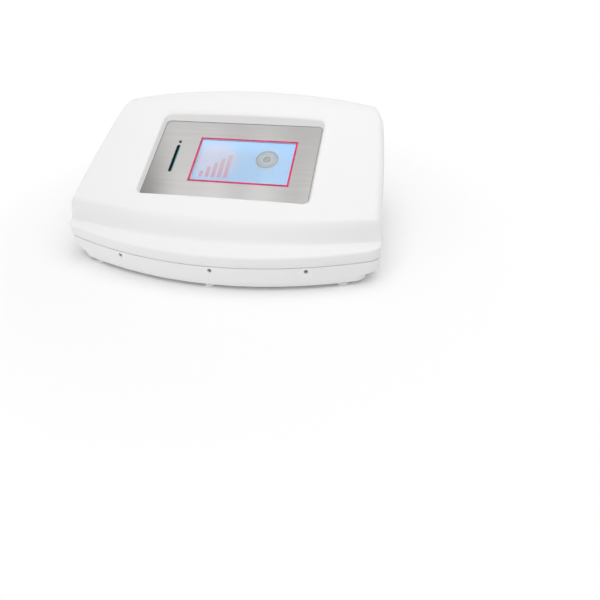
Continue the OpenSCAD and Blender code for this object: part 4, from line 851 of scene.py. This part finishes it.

# %% [markdown]
# ## Indicator and card slot
# The indicator is a lens of dark red epoxy that is off, painted darker towards its outline as shade.
# The slot is the mouth of a card reader of dark glass-filled polyester, which has a grey-green tint
# where light falls in.

# %% Indicator and reader
def epoxy_lens(name, colour, rim):
    """Tinted epoxy with a polished dome, and painted shade: darker where the surface turns from the
    camera.
    """
    material, tree, out = new_material(name)
    # Painted shade: the colour turns to the darker rim colour where the dome faces away from the
    # camera.
    facing = add(tree, "ShaderNodeLayerWeight", None, {"Blend": 0.35})
    cloud = add(tree, "ShaderNodeTexNoise", None, {"Scale": 180, "Detail": 2})
    edge_shade_mask = add(tree, "ShaderNodeMath", {0: facing.outputs["Facing"], 1: cloud.outputs["Fac"]},
                operation="MULTIPLY")
    tone = add(tree, "ShaderNodeMix", {"Factor": edge_shade_mask.outputs[0]}, None, data_type="RGBA")
    tone.inputs["A"].default_value = linear(colour)
    tone.inputs["B"].default_value = linear(rim)
    lens = add(tree, "ShaderNodeBsdfPrincipled", {"Base Color": tone.outputs["Result"]},
               {"Roughness": 0.12, "IOR": 1.55, "Coat Weight": 0.3})
    tree.links.new(lens.outputs["BSDF"], out.inputs["Surface"])
    return material


red_epoxy = epoxy_lens("dark_red_epoxy", "#4E0C3B", "#2A061F")
finish_node(red_epoxy, "status_led")
dark_polyester = moulded("dark_glass_filled_polyester", "#17363A", 0.5, grain=0.5, shift=0.3, ior=1.55)
finish_node(dark_polyester, "card_reader")

# %% [markdown]
# ## The slot's lip
# The reader's mouth has a thin lip that covers the cut edge of the steel. It is smoked teal plastic
# with its light painted on: the flank that faces the light is painted in the lit teal tint, and the
# other one painted near black as its shade. A ring of points round the slot, straight along its
# sides and round at its ends, gives the lip.

# %% Slot lip
SLOT_U, SLOT_V = -97.0, -1.4
LIP_SECTION = ((6.2, 57.6, 0.0), (6.0, 57.4, 0.3), (5.0, 56.4, 0.4), (2.8, 54.4, 0.2),
               (2.6, 54.3, -1.4))


def round_ended(width, length, turns=8):
    """Points round a slot outline of that width and length, in panel millimetres."""
    r, straight = width/2, length/2 - width/2
    arc = np.linspace(0, math.pi, turns)
    u = np.concatenate([r*np.cos(arc), -r*np.cos(arc)])
    v = np.concatenate([straight + r*np.sin(arc), -straight - r*np.sin(arc)])
    return [(SLOT_U + a, SLOT_V + b) for a, b in zip(u, v)]


def lip_with_painted_light(name, shade, tint):
    """Smoked teal plastic with painted light: a near-black shade on the left flank, the lit tint on the
    right one.
    """
    material, tree, out = new_material(name)
    split = add(tree, "ShaderNodeSeparateXYZ", {"Vector": panel_mm(tree, SLOT_U, SLOT_V)})
    # Painted light: the right flank gets the lit teal colour, the left flank a near-black painted
    # shade.
    lit_flank_mask = add(tree, "ShaderNodeMapRange", {"Value": split.outputs["X"]},
                {"From Min": 0.9, "From Max": 2.2})
    tone = add(tree, "ShaderNodeMix", {"Factor": lit_flank_mask.outputs[0]}, None, data_type="RGBA")
    tone.inputs["A"].default_value = linear(shade)
    tone.inputs["B"].default_value = linear(tint)
    grit = add(tree, "ShaderNodeTexNoise", {"Vector": panel_mm(tree)}, {"Scale": 1.8, "Detail": 2})
    bump = add(tree, "ShaderNodeBump", {"Height": grit.outputs["Fac"]},
               {"Strength": 0.15, "Distance": 0.00002})
    lip = add(tree, "ShaderNodeBsdfPrincipled",
              {"Base Color": tone.outputs["Result"], "Normal": bump.outputs["Normal"]},
              {"Roughness": 0.35, "IOR": 1.57})
    tree.links.new(lip.outputs["BSDF"], out.inputs["Surface"])
    return material


lip_points, lip_loops = [], []
for wide, long, height in LIP_SECTION:
    ring = round_ended(wide, long)
    lip_loops.append(list(range(len(lip_points), len(lip_points) + len(ring))))
    lip_points += [on_panel(u, v, height) for u, v in ring]
# The lip's colours are painted light: lit teal on one flank, near-black shade on the other.
lip_painted_light = lip_with_painted_light("smoked_teal_with_painted_light", "#050708", "#118086")
lip_faces = [f for a, b in zip(lip_loops, lip_loops[1:]) for f in bands(a, b)]
slot_lip = piece("slot_lip", lip_points, lip_faces, lip_painted_light, sharp=50)
print("slot lip faces:", len(slot_lip.data.polygons))

# %% [markdown]
# ## Plated steel
# Most screws, the fan's guard and the pins are nickel-plated. Nickel is a slightly warm bright metal.
# The three screws low on the front are black zinc-plated and show as small dark marks. Plating over
# turned steel shows faint specks and an uneven gloss, which two noises of different size give.

# %% Plated metals
def plated(name, colour, rough, speck=0.4):
    """Plated steel or brass: bright metal with specks and slightly uneven gloss."""
    material, tree, out = new_material(name)
    place = add(tree, "ShaderNodeTexCoord")
    fine = add(tree, "ShaderNodeTexNoise", {"Vector": place.outputs["Object"]},
               {"Scale": 1000/speck, "Detail": 3})
    broad = add(tree, "ShaderNodeTexNoise", {"Vector": place.outputs["Object"]},
                {"Scale": 90, "Detail": 2})
    tone = add(tree, "ShaderNodeMix", {"Factor": broad.outputs["Fac"]}, None, data_type="RGBA")
    base = linear(colour)
    tone.inputs["A"].default_value = [c*0.82 for c in base[:3]] + [1.0]
    tone.inputs["B"].default_value = base
    gloss = add(tree, "ShaderNodeMapRange", {"Value": fine.outputs["Fac"]},
                {"From Min": 0.3, "From Max": 0.7, "To Min": rough - 0.07, "To Max": rough + 0.07})
    bump = add(tree, "ShaderNodeBump", {"Height": fine.outputs["Fac"]},
               {"Strength": 0.12, "Distance": 0.00003})
    metal = add(tree, "ShaderNodeBsdfPrincipled",
                {"Base Color": tone.outputs["Result"], "Roughness": gloss.outputs[0],
                 "Normal": bump.outputs["Normal"]},
                {"Metallic": 1.0})
    tree.links.new(metal.outputs["BSDF"], out.inputs["Surface"])
    return material


nickel_plate = plated("nickel_plated_steel", "#C9C4BB", 0.27)
brass_plate = plated("nickel_plated_brass", "#CFC6AE", 0.22)
black_zinc = plated("black_zinc_plated_steel", "#2C2A29", 0.4)
finish_node(black_zinc, "front_screws")
finish_node(nickel_plate, "rear_screws", "panel_screws", "board_screws", "supply_screws",
            "fan_screws", "fan_guard", "rocker_pivot", "display_posts")
finish_node(brass_plate, "inlet_pins")

# %% [markdown]
# ## Rear panel and its fittings
# The rear panel is sheet steel with a powder coat, which dries with a soft orange-peel surface. The
# air sockets are glass-filled nylon, and the mains inlet, its fuse drawer and the switch are black
# polyamide with a fine spark-eroded grain.

# %% Powder coat
def powder_coat(name, colour):
    """Baked powder on sheet steel: an even colour with orange peel about 1.5 mm wide."""
    material, tree, out = new_material(name)
    place = add(tree, "ShaderNodeTexCoord")
    peel = add(tree, "ShaderNodeTexNoise", {"Vector": place.outputs["Object"]},
               {"Scale": 650, "Detail": 2})
    cloud = add(tree, "ShaderNodeTexNoise", {"Vector": place.outputs["Object"]},
                {"Scale": 20, "Detail": 2})
    tone = add(tree, "ShaderNodeMix", {"Factor": cloud.outputs["Fac"]}, None, data_type="RGBA")
    base = linear(colour)
    tone.inputs["A"].default_value = [c*0.95 for c in base[:3]] + [1.0]
    tone.inputs["B"].default_value = base
    bump = add(tree, "ShaderNodeBump", {"Height": peel.outputs["Fac"]},
               {"Strength": 0.3, "Distance": 0.00008})
    coat = add(tree, "ShaderNodeBsdfPrincipled",
               {"Base Color": tone.outputs["Result"], "Normal": bump.outputs["Normal"]},
               {"Roughness": 0.38, "IOR": 1.5})
    tree.links.new(coat.outputs["BSDF"], out.inputs["Surface"])
    return material


grey_powder = powder_coat("light_grey_powder_coat", "#D9DADC")
finish_node(grey_powder, "rear_panel", bevel=0.3)
grey_nylon = moulded("grey_glass_filled_nylon", "#5B5F63", 0.42, grain=0.8, shift=0.12)
finish_node(grey_nylon, "air_socket_left", "air_socket_right")
black_polyamide = moulded("black_polyamide", "#1B1C1E", 0.42, grain=0.7, shift=0.15)
finish_node(black_polyamide, "power_inlet", "fuse_drawer", "switch_body", bevel=0.3)

# %% [markdown]
# ## Rocker
# The rocker is glossy black polycarbonate. A bar and a ring, the common marks for on and off, are
# moulded in white at its ends. They are masks in the rocker's own millimetres, so they tilt with it.

# %% Rocker with its marks
MARK_AT, BAR_HALF_W, BAR_HALF_H, RING_R, RING_HALF = 4.3, 0.35, 1.6, 1.5, 0.3


def marked_rocker(name, middle):
    """Black polycarbonate with a white bar above and a white ring below its middle."""
    material, tree, out = new_material(name)
    place = add(tree, "ShaderNodeTexCoord")
    local = add(tree, "ShaderNodeVectorMath", {0: place.outputs["Object"]}, {1: middle},
                operation="SUBTRACT")
    size = add(tree, "ShaderNodeVectorMath", {0: local.outputs["Vector"]}, {1: (1000, 0, 1000)},
               operation="MULTIPLY")
    split = add(tree, "ShaderNodeSeparateXYZ", {"Vector": size.outputs["Vector"]})
    side = add(tree, "ShaderNodeMath", {0: split.outputs["X"]}, operation="ABSOLUTE")
    thin = add(tree, "ShaderNodeMath", {0: side.outputs[0]}, {1: BAR_HALF_W}, operation="LESS_THAN")
    up = add(tree, "ShaderNodeMath", {0: split.outputs["Z"]}, {1: MARK_AT}, operation="SUBTRACT")
    reach = add(tree, "ShaderNodeMath", {0: up.outputs[0]}, operation="ABSOLUTE")
    short = add(tree, "ShaderNodeMath", {0: reach.outputs[0]}, {1: BAR_HALF_H},
                operation="LESS_THAN")
    bar = add(tree, "ShaderNodeMath", {0: thin.outputs[0], 1: short.outputs[0]},
              operation="MULTIPLY")
    low = add(tree, "ShaderNodeVectorMath", {0: size.outputs["Vector"]}, {1: (0, 0, -MARK_AT)},
              operation="SUBTRACT")
    away = add(tree, "ShaderNodeVectorMath", {0: low.outputs["Vector"]}, operation="LENGTH")
    off = add(tree, "ShaderNodeMath", {0: away.outputs["Value"]}, {1: RING_R}, operation="SUBTRACT")
    line = add(tree, "ShaderNodeMath", {0: off.outputs[0]}, operation="ABSOLUTE")
    ring = add(tree, "ShaderNodeMath", {0: line.outputs[0]}, {1: RING_HALF}, operation="LESS_THAN")
    mark = add(tree, "ShaderNodeMath", {0: bar.outputs[0], 1: ring.outputs[0]}, operation="MAXIMUM")
    tone = add(tree, "ShaderNodeMix", {"Factor": mark.outputs[0]}, None, data_type="RGBA")
    tone.inputs["A"].default_value = linear("#141416")
    tone.inputs["B"].default_value = linear("#E6E6E4")
    grit = add(tree, "ShaderNodeTexNoise", {"Vector": place.outputs["Object"]},
               {"Scale": 900, "Detail": 2})
    bump = add(tree, "ShaderNodeBump", {"Height": grit.outputs["Fac"]},
               {"Strength": 0.1, "Distance": 0.00002})
    shell = add(tree, "ShaderNodeBsdfPrincipled",
                {"Base Color": tone.outputs["Result"], "Normal": bump.outputs["Normal"]},
                {"Roughness": 0.22, "IOR": 1.58})
    tree.links.new(shell.outputs["BSDF"], out.inputs["Surface"])
    return material


rocker_low, rocker_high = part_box("switch_rocker")
glossy_rocker = marked_rocker("glossy_black_polycarbonate", (rocker_low + rocker_high)/2)
finish_node(glossy_rocker, "switch_rocker", bevel=0.2)

# %% [markdown]
# ## Fuse
# A glass tube with a nickel-plated cap at each end. One material serves both: within 5 mm of an end
# it is metal, and glass in between.

# %% Fuse
CAP_L = 0.005


def capped_glass(name, low, high, cap):
    """Glass between two plated caps that are cap metres long."""
    material, tree, out = new_material(name)
    place = add(tree, "ShaderNodeTexCoord")
    split = add(tree, "ShaderNodeSeparateXYZ", {"Vector": place.outputs["Object"]})
    off = add(tree, "ShaderNodeMath", {0: split.outputs["X"]}, {1: (low + high)/2},
              operation="SUBTRACT")
    far = add(tree, "ShaderNodeMath", {0: off.outputs[0]}, operation="ABSOLUTE")
    end = add(tree, "ShaderNodeMath", {0: far.outputs[0]}, {1: (high - low)/2 - cap},
              operation="GREATER_THAN")
    ripple = add(tree, "ShaderNodeTexNoise", {"Vector": place.outputs["Object"]},
                 {"Scale": 700, "Detail": 1})
    bump = add(tree, "ShaderNodeBump", {"Height": ripple.outputs["Fac"]},
               {"Strength": 0.1, "Distance": 0.00003})
    metal = add(tree, "ShaderNodeBsdfPrincipled", {"Normal": bump.outputs["Normal"]},
                {"Base Color": linear("#C9C4BB"), "Metallic": 1.0, "Roughness": 0.25})
    glass = add(tree, "ShaderNodeBsdfPrincipled", {"Normal": bump.outputs["Normal"]},
                {"Base Color": linear("#F4FAF8"), "Transmission Weight": 1.0, "Roughness": 0.02,
                 "IOR": 1.5})
    joined = add(tree, "ShaderNodeMixShader",
                 {0: end.outputs[0], 1: glass.outputs[0], 2: metal.outputs[0]})
    tree.links.new(joined.outputs[0], out.inputs["Surface"])
    return material


fuse_low, fuse_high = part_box("fuse")
fuse_glass = capped_glass("fuse_glass_and_caps", fuse_low[0], fuse_high[0], CAP_L)
finish_node(fuse_glass, "fuse")

# %% [markdown]
# ## Fan
# Frame and rotor are black polybutylene terephthalate, the usual plastic of small fans, matt from its
# glass fibre.

# %% Fan
black_pbt = moulded("black_pbt", "#202124", 0.5, grain=0.6, shift=0.1, ior=1.55)
finish_node(black_pbt, "fan_frame", "fan_rotor")

# %% [markdown]
# ## Inside the console
# The pump stands on rubber mounts. Its brackets are galvanised sheet, which crystallises in flat
# spangles. The crankcase and heads are die-cast aluminium with a pebbled skin, and the motor is a
# zinc-plated can. The manifold is anodised aluminium, and the valves are potted coils.

# %% Galvanised sheet
def galvanised(name):
    """Zinc-coated sheet: flat spangles about 6 mm wide, each with its own shade and gloss."""
    material, tree, out = new_material(name)
    place = add(tree, "ShaderNodeTexCoord")
    cells = add(tree, "ShaderNodeTexVoronoi", {"Vector": place.outputs["Object"]}, {"Scale": 165})
    split = add(tree, "ShaderNodeSeparateXYZ", {"Vector": cells.outputs["Color"]})
    tone = add(tree, "ShaderNodeMix", {"Factor": split.outputs["X"]}, None, data_type="RGBA")
    tone.inputs["A"].default_value = linear("#A3A8AB")
    tone.inputs["B"].default_value = linear("#C3C7C9")
    gloss = add(tree, "ShaderNodeMapRange", {"Value": split.outputs["Y"]},
                {"To Min": 0.34, "To Max": 0.5})
    sheet = add(tree, "ShaderNodeBsdfPrincipled",
                {"Base Color": tone.outputs["Result"], "Roughness": gloss.outputs[0]},
                {"Metallic": 1.0})
    tree.links.new(sheet.outputs["BSDF"], out.inputs["Surface"])
    return material


galvanised_sheet = galvanised("galvanised_sheet_steel")
finish_node(galvanised_sheet, "pump_bracket", "manifold_bracket")

# %% Cast and anodised aluminium
def aluminium(name, colour, rough, pebble, depth):
    """Aluminium with a pebbled or blasted skin of the given size in millimetres."""
    material, tree, out = new_material(name)
    place = add(tree, "ShaderNodeTexCoord")
    skin = add(tree, "ShaderNodeTexNoise", {"Vector": place.outputs["Object"]},
               {"Scale": 1000/pebble, "Detail": 3})
    tone = add(tree, "ShaderNodeMix", {"Factor": skin.outputs["Fac"]}, None, data_type="RGBA")
    base = linear(colour)
    tone.inputs["A"].default_value = [c*0.85 for c in base[:3]] + [1.0]
    tone.inputs["B"].default_value = base
    bump = add(tree, "ShaderNodeBump", {"Height": skin.outputs["Fac"]},
               {"Strength": 0.4, "Distance": depth/1000})
    metal = add(tree, "ShaderNodeBsdfPrincipled",
                {"Base Color": tone.outputs["Result"], "Normal": bump.outputs["Normal"]},
                {"Metallic": 1.0, "Roughness": rough})
    tree.links.new(metal.outputs["BSDF"], out.inputs["Surface"])
    return material


die_cast = aluminium("die_cast_aluminium", "#B4B6B8", 0.45, 1.6, 0.15)
finish_node(die_cast, "pump_crankcase", "pump_heads")
blasted = aluminium("anodised_aluminium", "#C4C7CB", 0.38, 0.5, 0.03)
finish_node(blasted, "valve_manifold", "heat_sink")
zinc_can = plated("zinc_plated_steel", "#B9BEC2", 0.36)
finish_node(zinc_can, "pump_motor")
black_rubber = moulded("black_rubber", "#232323", 0.65, grain=0.8, ior=1.52)
finish_node(black_rubber, "pump_mounts")
potted_coil = moulded("potted_valve_coil", "#26221F", 0.4, grain=0.6, shift=0.2)
finish_node(potted_coil, "solenoid_valves")

# %% [markdown]
# ## Hoses, ribbon and leads
# The air hoses are soft clear PVC, which looks milky. The ribbon is grey PVC with a ridge over every
# wire, 1.27 mm apart. Its outer wire is red as a mark. The two mains leads are blue and brown.

# %% Hoses
def soft_pvc(name, tint):
    """Plasticised clear PVC: milky, with a soft gloss."""
    material, tree, out = new_material(name)
    place = add(tree, "ShaderNodeTexCoord")
    milk = add(tree, "ShaderNodeTexNoise", {"Vector": place.outputs["Object"]},
               {"Scale": 120, "Detail": 2})
    dull = add(tree, "ShaderNodeMapRange", {"Value": milk.outputs["Fac"]},
               {"To Min": 0.22, "To Max": 0.4})
    bump = add(tree, "ShaderNodeBump", {"Height": milk.outputs["Fac"]},
               {"Strength": 0.15, "Distance": 0.0001})
    tube = add(tree, "ShaderNodeBsdfPrincipled",
               {"Roughness": dull.outputs[0], "Normal": bump.outputs["Normal"]},
               {"Base Color": linear(tint), "Transmission Weight": 0.55, "IOR": 1.53})
    tree.links.new(tube.outputs["BSDF"], out.inputs["Surface"])
    return material


milky_pvc = soft_pvc("soft_clear_pvc", "#E4E9EA")
finish_node(milky_pvc, "outlet_hoses", "supply_hose")

# %% Ribbon and leads
WIRE_STEP = 0.00127


def ribbed_ribbon(name, left_x):
    """Flat cable across X with a ridge per wire and one red edge wire."""
    material, tree, out = new_material(name)
    place = add(tree, "ShaderNodeTexCoord")
    split = add(tree, "ShaderNodeSeparateXYZ", {"Vector": place.outputs["Object"]})
    across = add(tree, "ShaderNodeMath", {0: split.outputs["X"]}, {1: left_x}, operation="SUBTRACT")
    phase = add(tree, "ShaderNodeMath", {0: across.outputs[0]}, {1: 2*math.pi/WIRE_STEP},
                operation="MULTIPLY")
    wave = add(tree, "ShaderNodeMath", {0: phase.outputs[0]}, operation="COSINE")
    edge = add(tree, "ShaderNodeMath", {0: across.outputs[0]}, {1: WIRE_STEP},
               operation="LESS_THAN")
    tone = add(tree, "ShaderNodeMix", {"Factor": edge.outputs[0]}, None, data_type="RGBA")
    tone.inputs["A"].default_value = linear("#A7A9AB")
    tone.inputs["B"].default_value = linear("#B23A36")
    bump = add(tree, "ShaderNodeBump", {"Height": wave.outputs[0]},
               {"Strength": 0.6, "Distance": 0.0002})
    jacket = add(tree, "ShaderNodeBsdfPrincipled",
                 {"Base Color": tone.outputs["Result"], "Normal": bump.outputs["Normal"]},
                 {"Roughness": 0.42, "IOR": 1.53})
    tree.links.new(jacket.outputs["BSDF"], out.inputs["Surface"])
    return material


def two_leads(name, middle_x):
    """PVC insulation, blue on one side of middle_x and brown on the other."""
    material, tree, out = new_material(name)
    place = add(tree, "ShaderNodeTexCoord")
    split = add(tree, "ShaderNodeSeparateXYZ", {"Vector": place.outputs["Object"]})
    side = add(tree, "ShaderNodeMath", {0: split.outputs["X"]}, {1: middle_x},
               operation="GREATER_THAN")
    tone = add(tree, "ShaderNodeMix", {"Factor": side.outputs[0]}, None, data_type="RGBA")
    tone.inputs["A"].default_value = linear("#2F5FA8")
    tone.inputs["B"].default_value = linear("#6B4630")
    drawn = add(tree, "ShaderNodeTexNoise", {"Vector": place.outputs["Object"]},
                {"Scale": 500, "Detail": 2})
    bump = add(tree, "ShaderNodeBump", {"Height": drawn.outputs["Fac"]},
               {"Strength": 0.15, "Distance": 0.00005})
    jacket = add(tree, "ShaderNodeBsdfPrincipled",
                 {"Base Color": tone.outputs["Result"], "Normal": bump.outputs["Normal"]},
                 {"Roughness": 0.38, "IOR": 1.53})
    tree.links.new(jacket.outputs["BSDF"], out.inputs["Surface"])
    return material


ribbon_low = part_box("ribbon_cable")[0]
ribbed_pvc = ribbed_ribbon("ribbed_grey_pvc", ribbon_low[0])
finish_node(ribbed_pvc, "ribbon_cable")
leads_low, leads_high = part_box("mains_leads")
lead_pvc = two_leads("blue_and_brown_pvc", (leads_low[0] + leads_high[0])/2)
finish_node(lead_pvc, "mains_leads")

# %% [markdown]
# ## Circuit boards
# A board is glass-fibre epoxy under a green varnish, with copper tracks just visible below it and
# tinned dots where parts are soldered. The parts on it are dark chips and drums, pale connectors and
# bright cans. They differ by height, so their colour follows height.

# %% Boards
def varnished_board(name, varnish, copper):
    """Epoxy board: varnish over tracks 1 mm wide, with tinned dots 5 mm apart."""
    material, tree, out = new_material(name)
    place = add(tree, "ShaderNodeTexCoord")
    tracks = add(tree, "ShaderNodeTexBrick", {"Vector": place.outputs["Object"]},
                 {"Scale": 60, "Mortar Size": 0.03, "Brick Width": 0.9, "Row Height": 0.22})
    dots = add(tree, "ShaderNodeTexVoronoi", {"Vector": place.outputs["Object"]},
               {"Scale": 200, "Randomness": 0.0})
    near = add(tree, "ShaderNodeMath", {0: dots.outputs["Distance"]}, {1: 0.16},
               operation="LESS_THAN")
    tone = add(tree, "ShaderNodeMix", {"Factor": tracks.outputs["Fac"]}, None, data_type="RGBA")
    tone.inputs["A"].default_value = linear(varnish)
    tone.inputs["B"].default_value = linear(copper)
    dotted = add(tree, "ShaderNodeMix", {"Factor": near.outputs[0], "A": tone.outputs["Result"]},
                 None,
                 data_type="RGBA")
    dotted.inputs["B"].default_value = linear("#C8CACB")
    bump = add(tree, "ShaderNodeBump", {"Height": tracks.outputs["Fac"]},
               {"Strength": 0.3, "Distance": 0.00004})
    board = add(tree, "ShaderNodeBsdfPrincipled",
                {"Base Color": dotted.outputs["Result"], "Normal": bump.outputs["Normal"],
                 "Metallic": near.outputs[0]}, {"Roughness": 0.32, "IOR": 1.55})
    tree.links.new(board.outputs["BSDF"], out.inputs["Surface"])
    return material


def by_height(name, steps):
    """Moulded and metal parts on a board, coloured by their height above the floor in metres."""
    material, tree, out = new_material(name)
    place = add(tree, "ShaderNodeTexCoord")
    split = add(tree, "ShaderNodeSeparateXYZ", {"Vector": place.outputs["Object"]})
    tone = None
    for level, colour in steps:
        if tone is None:
            tone = add(tree, "ShaderNodeMix", None, None, data_type="RGBA")
            tone.inputs["A"].default_value = tone.inputs["B"].default_value = linear(colour)
            continue
        above = add(tree, "ShaderNodeMath", {0: split.outputs["Z"]}, {1: level},
                    operation="GREATER_THAN")
        tone = add(tree, "ShaderNodeMix", {"Factor": above.outputs[0], "A": tone.outputs["Result"]},
                   None,
                   data_type="RGBA")
        tone.inputs["B"].default_value = linear(colour)
    grit = add(tree, "ShaderNodeTexNoise", {"Vector": place.outputs["Object"]},
               {"Scale": 1100, "Detail": 2})
    bump = add(tree, "ShaderNodeBump", {"Height": grit.outputs["Fac"]},
               {"Strength": 0.25, "Distance": 0.00003})
    mould = add(tree, "ShaderNodeBsdfPrincipled",
                {"Base Color": tone.outputs["Result"], "Normal": bump.outputs["Normal"]},
                {"Roughness": 0.42, "IOR": 1.55})
    tree.links.new(mould.outputs["BSDF"], out.inputs["Surface"])
    return material


green_board = varnished_board("green_varnished_board", "#1E5A36", "#2F7A48")
finish_node(green_board, "display_board", "main_board")
BOARD_STEPS = [(0, "#1C1D1F"), (0.0202, "#2A2B2E"), (0.0243, "#D8D6CC"), (0.0262, "#8C9094")]
SUPPLY_STEPS = [(0, "#9C7A45"), (0.0178, "#22242A"), (0.0405, "#A9ADB1")]
TAPE_STEPS = [(0, "#3A3836"), (0.0242, "#C9A227"), (0.0372, "#3A3836")]
board_mix = by_height("board_components", BOARD_STEPS)
finish_node(board_mix, "board_parts")
supply_mix = by_height("supply_board_and_drums", SUPPLY_STEPS)
finish_node(supply_mix, "power_supply")
transformer_mix = by_height("ferrite_and_tape", TAPE_STEPS)
finish_node(transformer_mix, "transformer")
print("not dressed yet:", sorted(set(nodes) - dressed - {"top_cover"}))
